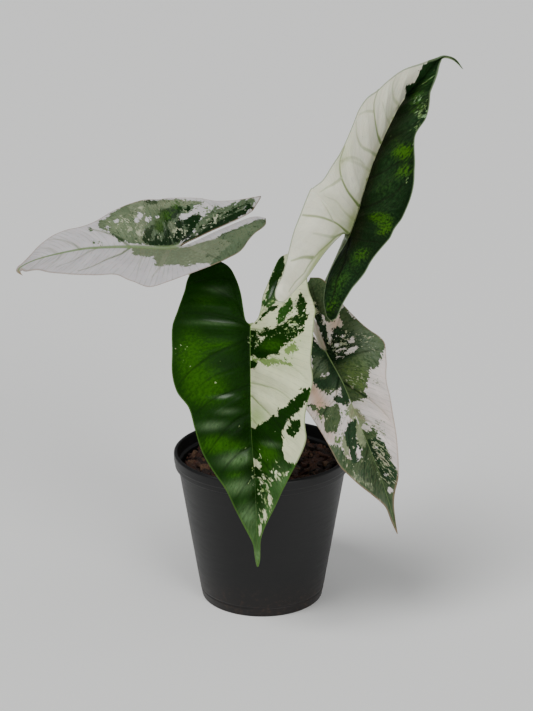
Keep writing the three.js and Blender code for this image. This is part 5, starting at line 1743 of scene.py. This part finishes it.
# The upright blade's deep green is darker than the other blades' greens. Part of that is painted shade,
# because that half lies in the shadow of its ivory half.
LEAF_COLOURS["upright"] = {
    "base": (253, 252, 228), "pale": (120, 150, 84), "mid": (34, 74, 22), "dark": (5, 28, 4),
    "glow": (62, 108, 0), "bloom_and_sheen": (38, 70, 34), "shadow_and_deep_green": (26, 28, 14), "blush": (188, 202, 140),
    "fleck": (120, 150, 108), "pepper": (60, 96, 44), "vein_light": (108, 130, 68),
    "vein_dark": (2, 12, 3), "rib": (34, 44, 20), "rim": (122, 142, 106)
}
LEAF_COLOURS["right_low"] = {
    "base": (230, 221, 217), "pale": (154, 165, 128), "mid": (90, 108, 72), "dark": (45, 71, 44),
    "glow": (96, 120, 62), "bloom_and_sheen": (112, 126, 104), "shadow_and_deep_green": (12, 26, 12), "blush": (200, 164, 138),
    "fleck": (180, 178, 152), "pepper": (104, 124, 82), "vein_light": (116, 124, 96),
    "vein_dark": (18, 38, 18), "rib": (120, 142, 90), "rim": (160, 134, 112)
}
# ragged is how far patch edges stray, coat the gloss of the wax, rib and side the widths of the
# midrib and the side veins, rim and fine how clearly the margin and the fine veins show, patchy
# and marble how uneven the green is, and halo the tinge beside the veins.
LEAF_FINISH = {
    "front": dict(ragged=1.6, coat=0.9, rib=0.42, side=0.85, rim=0.6, fine=0.16, patchy=0.24,
                  marble=0.14, halo=0.5),
    "left": dict(ragged=1.6, coat=0.25, rib=1.9, side=1.4, rim=0.5, fine=0.26, patchy=0.5,
                 marble=0.3, halo=0.4),
    "upright": dict(ragged=1.6, coat=0.25, rib=0.6, side=1.6, rim=0.7, fine=0.05, patchy=0.6,
                    marble=0.4, halo=0.8),
    "right_low": dict(ragged=1.7, coat=0.4, rib=0.6, side=0.9, rim=0.5, fine=0.24, patchy=0.6,
                      marble=0.5, halo=0.3),
}
LEAF_ROUGHNESS = 0.5
UNDERSIDE = (150, 170, 112)
# The cells of each tone are shifted one step further, and so are those of each kind of fleck.
TONE_STEP = (7.0, 3.0)
FLECK_START = (40.0, 17.0)
FLECK_STEP = 9.0


# %% Leaf fields and masks
def darker(color, share):
    """A colour with only this share of its light."""
    return tuple(share * part for part in color)


def leaf_fields(nodes, name):
    """Everything that the leaf's colours depend on, by name: what the mesh stores, the outputs of
    the vein and skin groups, and, in place of each tone's distance and each kind of fleck's
    density, its mask."""
    finish = LEAF_FINISH[name]
    leaf = nodes.stored("leaf")
    fields = {"y": nodes.parts(leaf)[1], "marble": finish["marble"]}
    for title in ("tone", "skin", "mark", "light"):
        fields.update(zip(STORED[title], nodes.parts(nodes.stored(title))))
    flow = nodes.use(flow_group, Leaf=leaf)["Flow"]
    for k, tone in enumerate(TONES):
        fields[tone] = nodes.use(patch_group, Distance=fields[tone], Flow=flow, Ragged=finish["ragged"],
                                 Move=(TONE_STEP[0] * k, TONE_STEP[1] * k, 0))["Mask"]
    for k, kind in enumerate(("fleck", "pepper", "marble")):
        fields[kind] = nodes.use(fleck_group, Density=fields[kind], Flow=flow,
                                 Move=(FLECK_START[0] + FLECK_STEP * k, FLECK_START[1], 0))["Mask"]
    fields.update(nodes.use(vein_group, Leaf=leaf, Vein=nodes.stored("vein"), Rim=fields["rim"],
                            Gap=nodes.stored("gap", "Fac"), Length=leaf_length(name),
                            Rib_Width=finish["rib"], Side_Width=finish["side"]).items())
    fields.update(nodes.use(skin_group, Flow=flow, Gloss=LEAF_ROUGHNESS).items())
    fields["covered"] = nodes.larger(fields["mid"], fields["dark"])
    bare = nodes.larger(fields["cream"], fields["fleck"])
    fields["green"] = nodes.times(fields["covered"], nodes.minus(1.0, bare))
    fields["below"] = nodes.ramp(fields["under"], 0.4, 0.6)
    return fields


def leaf_length(name):
    """The midrib's length in mm."""
    return float(LEAVES[name]["left"]["ribs"][-1][0])


# %% Leaf colour layers
CLOUD_SHADE = 0.76
MOTTLE_SHADE = 0.72
CREAM_SHADE = 0.9
GLOW_STRENGTH = 0.95
BLOOM_AND_SHEEN_STRENGTH = 0.8
SHADE_STRENGTH = 0.75
MARBLE_STRENGTH = 0.55
GLOW_EDGES = (0.15, 0.9)
SIDE_VEIN_STRENGTH = 0.85
VEIN_LIMIT = 0.9
RIB_STRENGTH = 0.9
TIP_STRENGTH = 0.8
TIP_START, TIP_WHOLE = 6, 1
UNDERSIDE_STRENGTH = 0.42


def patch_color(nodes, tint, fields):
    """Cream, its tinge and its green flecks, then the patches of each green tone, all clouded."""
    cloud, mottle = fields["Cloud"], fields["Mottle"]
    color = nodes.paint(tint["base"], (cloud, darker(tint["base"], CREAM_SHADE)),
                        (fields["blush"], tint["blush"]), (fields["pepper"], tint["pepper"]))
    for tone in ("mid", "pale", "dark"):
        clouded = nodes.paint(tint[tone], (cloud, darker(tint[tone], CLOUD_SHADE)),
                              (mottle, darker(tint[tone], MOTTLE_SHADE)))
        color = nodes.paint(color, (fields[tone], clouded))
    return color


def light_color(nodes, tint, fields, finish, color):
    """Painted glow of light coming through, greyer patches with painted sheen and highlights,
    deep green with painted shadow, painted shadow in the vein valleys and marbled cells on the
    green, and then the cream flecks on it. The first three are broken up by the fine mottle."""
    green, patchy = fields["green"], finish["patchy"]
    broken = nodes.plus(1 - patchy, nodes.times(fields["Mottle"], 2 * patchy))
    lit = nodes.ramp(nodes.times(fields["glow"], broken), *GLOW_EDGES, 0, GLOW_STRENGTH)
    bloom_and_sheen_mask = nodes.calc("MINIMUM", nodes.times(fields["bloom_and_sheen"], broken, BLOOM_AND_SHEEN_STRENGTH), 1.0)
    toned = nodes.larger(fields["covered"], fields["pale"])
    return nodes.paint(
        color,
        # Painted light: the glow of light coming through the green.
        (nodes.times(lit, green), tint["glow"]),
        # A greyer bloom, in places painted sheen and painted highlights.
        (nodes.times(bloom_and_sheen_mask, green), tint["bloom_and_sheen"]),
        # Deeper green, in places painted shadow along the midrib crease and beside the vein grooves.
        (nodes.times(fields["shadow_and_deep_green"], broken, green, SHADE_STRENGTH), tint["shadow_and_deep_green"]),
        # Painted shade in the valleys beside the side veins.
        (nodes.times(fields["Valley"], green, SHADE_STRENGTH), tint["shadow_and_deep_green"]),
        (nodes.times(fields["marble"], green, MARBLE_STRENGTH), tint["dark"]),
        (nodes.times(fields["fleck"], toned), nodes.paint(tint["fleck"], (fields["Cloud"], tint["pale"]))),
        (nodes.times(fields["cream"], toned), tint["base"]))


def vein_color(nodes, tint, fields, finish, color, length):
    """The tinge beside the veins of the cream, the veins, the midrib, the margin and the dry tip,
    which is the last few millimetres."""
    halo = nodes.times(nodes.minus(1.0, fields["green"]), finish["halo"])
    marked = nodes.plus(nodes.times(fields["Side"], SIDE_VEIN_STRENGTH),
                        nodes.times(fields["Fine"], finish["fine"]))
    vein = nodes.paint(tint["vein_light"], (fields["green"], tint["vein_dark"]))
    return nodes.paint(
        color,
        (nodes.times(fields["Valley"], halo), tint["blush"]),
        (nodes.calc("MINIMUM", marked, VEIN_LIMIT), vein),
        (nodes.times(fields["Rib"], RIB_STRENGTH), tint["rib"]),
        (nodes.times(fields["Margin"], finish["rim"]), tint["rim"]),
        (nodes.ramp(fields["y"], length - TIP_START, length - TIP_WHOLE, 0, TIP_STRENGTH), tint["rim"]))


# %% Leaf material
def leaf_material(name):
    """Lays the colours of one blade over one another, then gives its green a waxy coat. The
    underside is tinted, rougher and nearly without the coat."""
    finish, tint = LEAF_FINISH[name], tints(LEAF_COLOURS[name])
    nodes = Finish(f"leaf_{name}", tint["base"], LEAF_ROUGHNESS, Coat_Roughness=0.2, Coat_IOR=1.45,
                   Specular_IOR_Level=0.06, Subsurface_Weight=0.06, Subsurface_Scale=0.0006)
    fields = leaf_fields(nodes, name)
    green, below = fields["green"], fields["below"]
    color = patch_color(nodes, tint, fields)
    color = light_color(nodes, tint, fields, finish, color)
    color = vein_color(nodes, tint, fields, finish, color, leaf_length(name))
    color = nodes.paint(color, (nodes.times(below, UNDERSIDE_STRENGTH), srgb(*UNDERSIDE)))
    wax = nodes.plus(nodes.times(green, nodes.stored("gleam", "Fac"), finish["coat"]), 0.02)
    coat = nodes.times(wax, nodes.ramp(below, 0, 1, 1, 0.2))
    nodes.tree.links.new(coat, nodes.shader.inputs["Coat Weight"])
    rough = nodes.plus(fields["Roughness"], nodes.times(below, 0.2))
    height = nodes.times(fields["Height"], nodes.ramp(green, 0, 1, 0.45, 1))
    return nodes.dress(color, rough, height, 0.4, 0.0003)


for name, blade in blades.items():
    fit_in(blade, f"blade_{name}", leaf_material(name))
print("leaf materials:", sorted(m.name for m in bpy.data.materials if m.name.startswith("leaf")))

# %% [markdown]
# ## Soil splashes
#
# Watering throws fine soil against everything near the ground, so the pot, the stem and the feet
# of the stalks all carry a little of it. That is one effect on several pieces, so it is a group:
# noise, thinned out with height above a chosen level.

# %% Group: soil splashes
SPECK_SCALE = 320
VEIL_SCALE = 45
VEIL_STRENGTH = 0.35


def soil_splashes():
    """Specks and a thin veil, whole below the height Low and gone at High, in metres."""
    nodes = Group("Soil splashes", {"Low": (FLOAT, 0.0), "High": (FLOAT, 0.1), "Amount": (FLOAT, 0.5)},
                  {"Mask": FLOAT})
    where = nodes.in_object()
    specks = nodes.ramp(nodes.noise(where, SPECK_SCALE, 5, 0.7), 0.52, 0.66)
    veil = nodes.times(nodes.noise(where, VEIL_SCALE, 3), VEIL_STRENGTH)
    near = nodes.ramp(nodes.parts(where)[2], nodes.given["High"], nodes.given["Low"])
    return nodes.give(Mask=nodes.times(nodes.plus(specks, veil), near, nodes.given["Amount"]))


splash_group = soil_splashes()

# %% [markdown]
# ## Stalks and stem
#
# The stalks are pale green and juicy, with short darker flecks that run lengthwise, so the
# pattern is stretched along the stalk's own coordinates. Towards its blade one stalk is pinkish
# cream, and the upright blade's stalk is darkened to deep green as painted shade, for it lies in
# the shadow of its blade, so each stalk stores its own tinge: above 0 for cream and below 0 for
# the painted shade. The stem is drier: olive skin with brown bands at the leaf scars.

# %% Stalk and stem materials
STALK_COLOURS = dict(foot=(150, 150, 104), top=(176, 190, 138), cloud=(128, 150, 84), fleck=(74, 86, 44),
                     cream=(212, 198, 184), green=(34, 56, 24), soil=(78, 50, 34))
STEM_COLOURS = dict(skin=(132, 130, 84), band=(104, 76, 48), fibre=(66, 48, 32), soil=(70, 44, 30))


def stalk_material():
    """Green that turns paler upwards, with clouds, flecks, the stalk's own tinge, which on one stalk is
    painted shadow in deep green, and splashes.
    """
    tint = tints(STALK_COLOURS)
    nodes = Finish("stalk_green", srgb(168, 180, 128), 0.36, Coat_Roughness=0.25, Coat_Weight=0.2,
                   Subsurface_Weight=0.08, Subsurface_Scale=0.0015)
    lengthwise, height = nodes.stored("stalk"), nodes.stored("height", "Fac")
    fleck = nodes.noise(lengthwise, (0.9, 0.9, 0.16), 5, 0.6)
    cloud = nodes.noise(lengthwise, (0.2, 0.2, 0.05), 3)
    tinge = nodes.times(nodes.ramp(height, 0.35, 0.8), nodes.stored("tinge", "Fac"))
    color = nodes.paint(
        tint["foot"],
        (nodes.ramp(height, 0.05, 0.85), tint["top"]),
        (nodes.ramp(cloud, 0.4, 0.65, 0, 0.6), tint["cloud"]),
        (nodes.ramp(fleck, 0.55, 0.62, 0, 0.7), tint["fleck"]),
        (nodes.larger(tinge, 0.0), tint["cream"]),
        # Painted shade: the upright blade's stalk darkened to deep green.
        (nodes.larger(nodes.times(tinge, -1.0), 0.0), tint["green"]),
        (nodes.use(splash_group, Low=0.1, High=0.15, Amount=0.6)["Mask"], tint["soil"]))
    return nodes.dress(color, nodes.ramp(fleck, 0.3, 0.7, 0.3, 0.48), fleck, 0.25, 0.0003)


def stem_material():
    """Olive with level brown bands, upright dark fibres and soil near the ground."""
    tint = tints(STEM_COLOURS)
    nodes = Finish("stem_olive", srgb(122, 118, 74), 0.7)
    where = nodes.in_object()
    bands = nodes.noise(where, (40, 40, 420), 4, 0.6)
    fibres = nodes.noise(where, (900, 900, 60), 4, 0.65)
    color = nodes.paint(
        tint["skin"],
        (nodes.ramp(bands, 0.42, 0.6), tint["band"]),
        (nodes.ramp(fibres, 0.5, 0.65, 0, 0.8), tint["fibre"]),
        (nodes.use(splash_group, Low=0.096, High=0.118, Amount=0.9)["Mask"], tint["soil"]))
    return nodes.dress(color, nodes.ramp(fibres, 0.3, 0.7, 0.6, 0.85), fibres, 0.6, 0.0006)


green_stalk = stalk_material()
for name, stalk in stalks.items():
    fit_in(stalk, f"petiole_{name}", green_stalk)
fit_in(stem, "stem", stem_material())
print("stalks and stem dressed:", len(stalks) + 1)

# %% [markdown]
# ## Bark
#
# Every chip stores its own grain direction and a random tint, so the fibres run along each chip
# and no two neighbours match. Damp bark is dark and a little shiny on its flat faces, and its
# colours are darkened further as painted shade, for the soil lies in the shadow of the leaves.

# %% Bark material
# Damp bark colours, darkened further as painted shade.
BARK_COLOURS_WITH_SHADE = dict(dark=(38, 22, 17), light=(84, 48, 33), old=(106, 75, 52), fibre=(27, 16, 12),
                    pit=(100, 65, 45))


def bark_material():
    """From dark to light by the chip's tint, a few chips grey-brown, with fibres and pits."""
    tint = tints(BARK_COLOURS_WITH_SHADE)
    nodes = Finish("bark_brown", srgb(96, 56, 38), 0.75)
    grain = nodes.stored("grain")
    chip = nodes.parts(grain)[2]
    fibres = nodes.noise(grain, (0.35, 2.6, 3.0), 5, 0.65)
    pits = nodes.noise(grain, (1.6, 1.6, 9.0), 4, 0.6)
    color = nodes.paint(
        tint["dark"],
        (nodes.ramp(chip, 0.1, 0.75), tint["light"]),
        (nodes.ramp(chip, 0.86, 0.9), tint["old"]),
        (nodes.ramp(fibres, 0.46, 0.62, 0, 0.75), tint["fibre"]),
        (nodes.ramp(pits, 0.58, 0.7, 0, 0.5), tint["pit"]))
    rough = nodes.ramp(pits, 0.35, 0.65, 0.5, 0.9)
    return nodes.dress(color, rough, nodes.plus(fibres, pits), 0.7, 0.0008)


fit_in(soil, "soil", bark_material())
print("bark dressed")

# %% [markdown]
# ## Black plastic
#
# The pot is injection-moulded black plastic: satin, with a faint grain from the mould, fine
# scuffs round it where pots rub together, and a little soil dust near its foot.

# %% Pot material
POT_COLOURS = dict(black=(12, 12, 13), scuff=(46, 46, 46), dust=(74, 54, 41))


def pot_material():
    """Black, with level scuffs round it and dust that thins out above the foot."""
    tint = tints(POT_COLOURS)
    nodes = Finish("pot_black", tint["black"], 0.42, Specular_IOR_Level=0.35)
    where = nodes.in_object()
    mould = nodes.noise(where, 1600, 2, 0.5)
    scuffs = nodes.noise(where, (60, 60, 900), 5, 0.7)
    color = nodes.paint(
        tint["black"],
        (nodes.ramp(scuffs, 0.6, 0.75, 0, 0.14), tint["scuff"]),
        (nodes.use(splash_group, Low=0.0, High=0.03, Amount=0.35)["Mask"], tint["dust"]))
    return nodes.dress(color, nodes.ramp(scuffs, 0.3, 0.7, 0.42, 0.5), mould, 0.18, 0.0003)


fit_in(pot, "pot", pot_material())
print("all CAD nodes have a finer piece:", len(blades) + len(stalks) + 3, "of", len(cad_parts))

# %% [markdown]
# ## Floor and light
#
# The part is shown on a plain pale floor in soft studio light. Three suns with wide discs act as
# big soft boxes far away, so that the floor is lit evenly to its edge: one from above and the
# left, one beside the camera, which lays soft highlights on the waxy green, and a wide weak one
# from the right, which reaches the ivory half of the upright blade. Area lamps would do too, but
# each would leave a brighter pool on the floor.

# %% Floor
FLOOR_HALF = 15.0
floor_mesh = bpy.data.meshes.new("studio_floor")
corners = [(-1, -1), (1, -1), (1, 1), (-1, 1)]
floor_mesh.from_pydata([(FLOOR_HALF * x, FLOOR_HALF * y, 0) for x, y in corners], [], [(0, 1, 2, 3)])
floor_mesh.materials.append(Finish("floor_pale", srgb(250, 250, 248), 0.9).material)
floor = new_object("studio_floor", floor_mesh)
print("floor:", 2 * FLOOR_HALF, "m wide")

# %% Lights
LIGHT_AIM = Vector((0, 0, 0.2))
# Where each sun stands, in metres, its strength and the width of its disc in degrees.
SUNS = {"key": ((-0.75, -0.85, 2.0), 1.95, 30), "fill": ((0.42, -0.75, 0.55), 1.05, 26),
        "side": ((1.5, -0.5, 0.6), 0.5, 90)}
SKY = (0.8, 0.81, 0.83, 1)
SKY_STRENGTH = 0.3

for name, (place, power, width) in SUNS.items():
    light = bpy.data.lights.new(name, "SUN")
    light.energy = power
    light.angle = np.radians(width)
    holder = new_object(name, light)
    holder.location = place
    holder.rotation_euler = (LIGHT_AIM - Vector(place)).to_track_quat("-Z", "Y").to_euler()
world = bpy.data.worlds.new("studio")
bpy.context.scene.world = world
world.use_nodes = True
background = world.node_tree.nodes["Background"].inputs
background["Color"].default_value = SKY
background["Strength"].default_value = SKY_STRENGTH
print("suns:", list(SUNS))
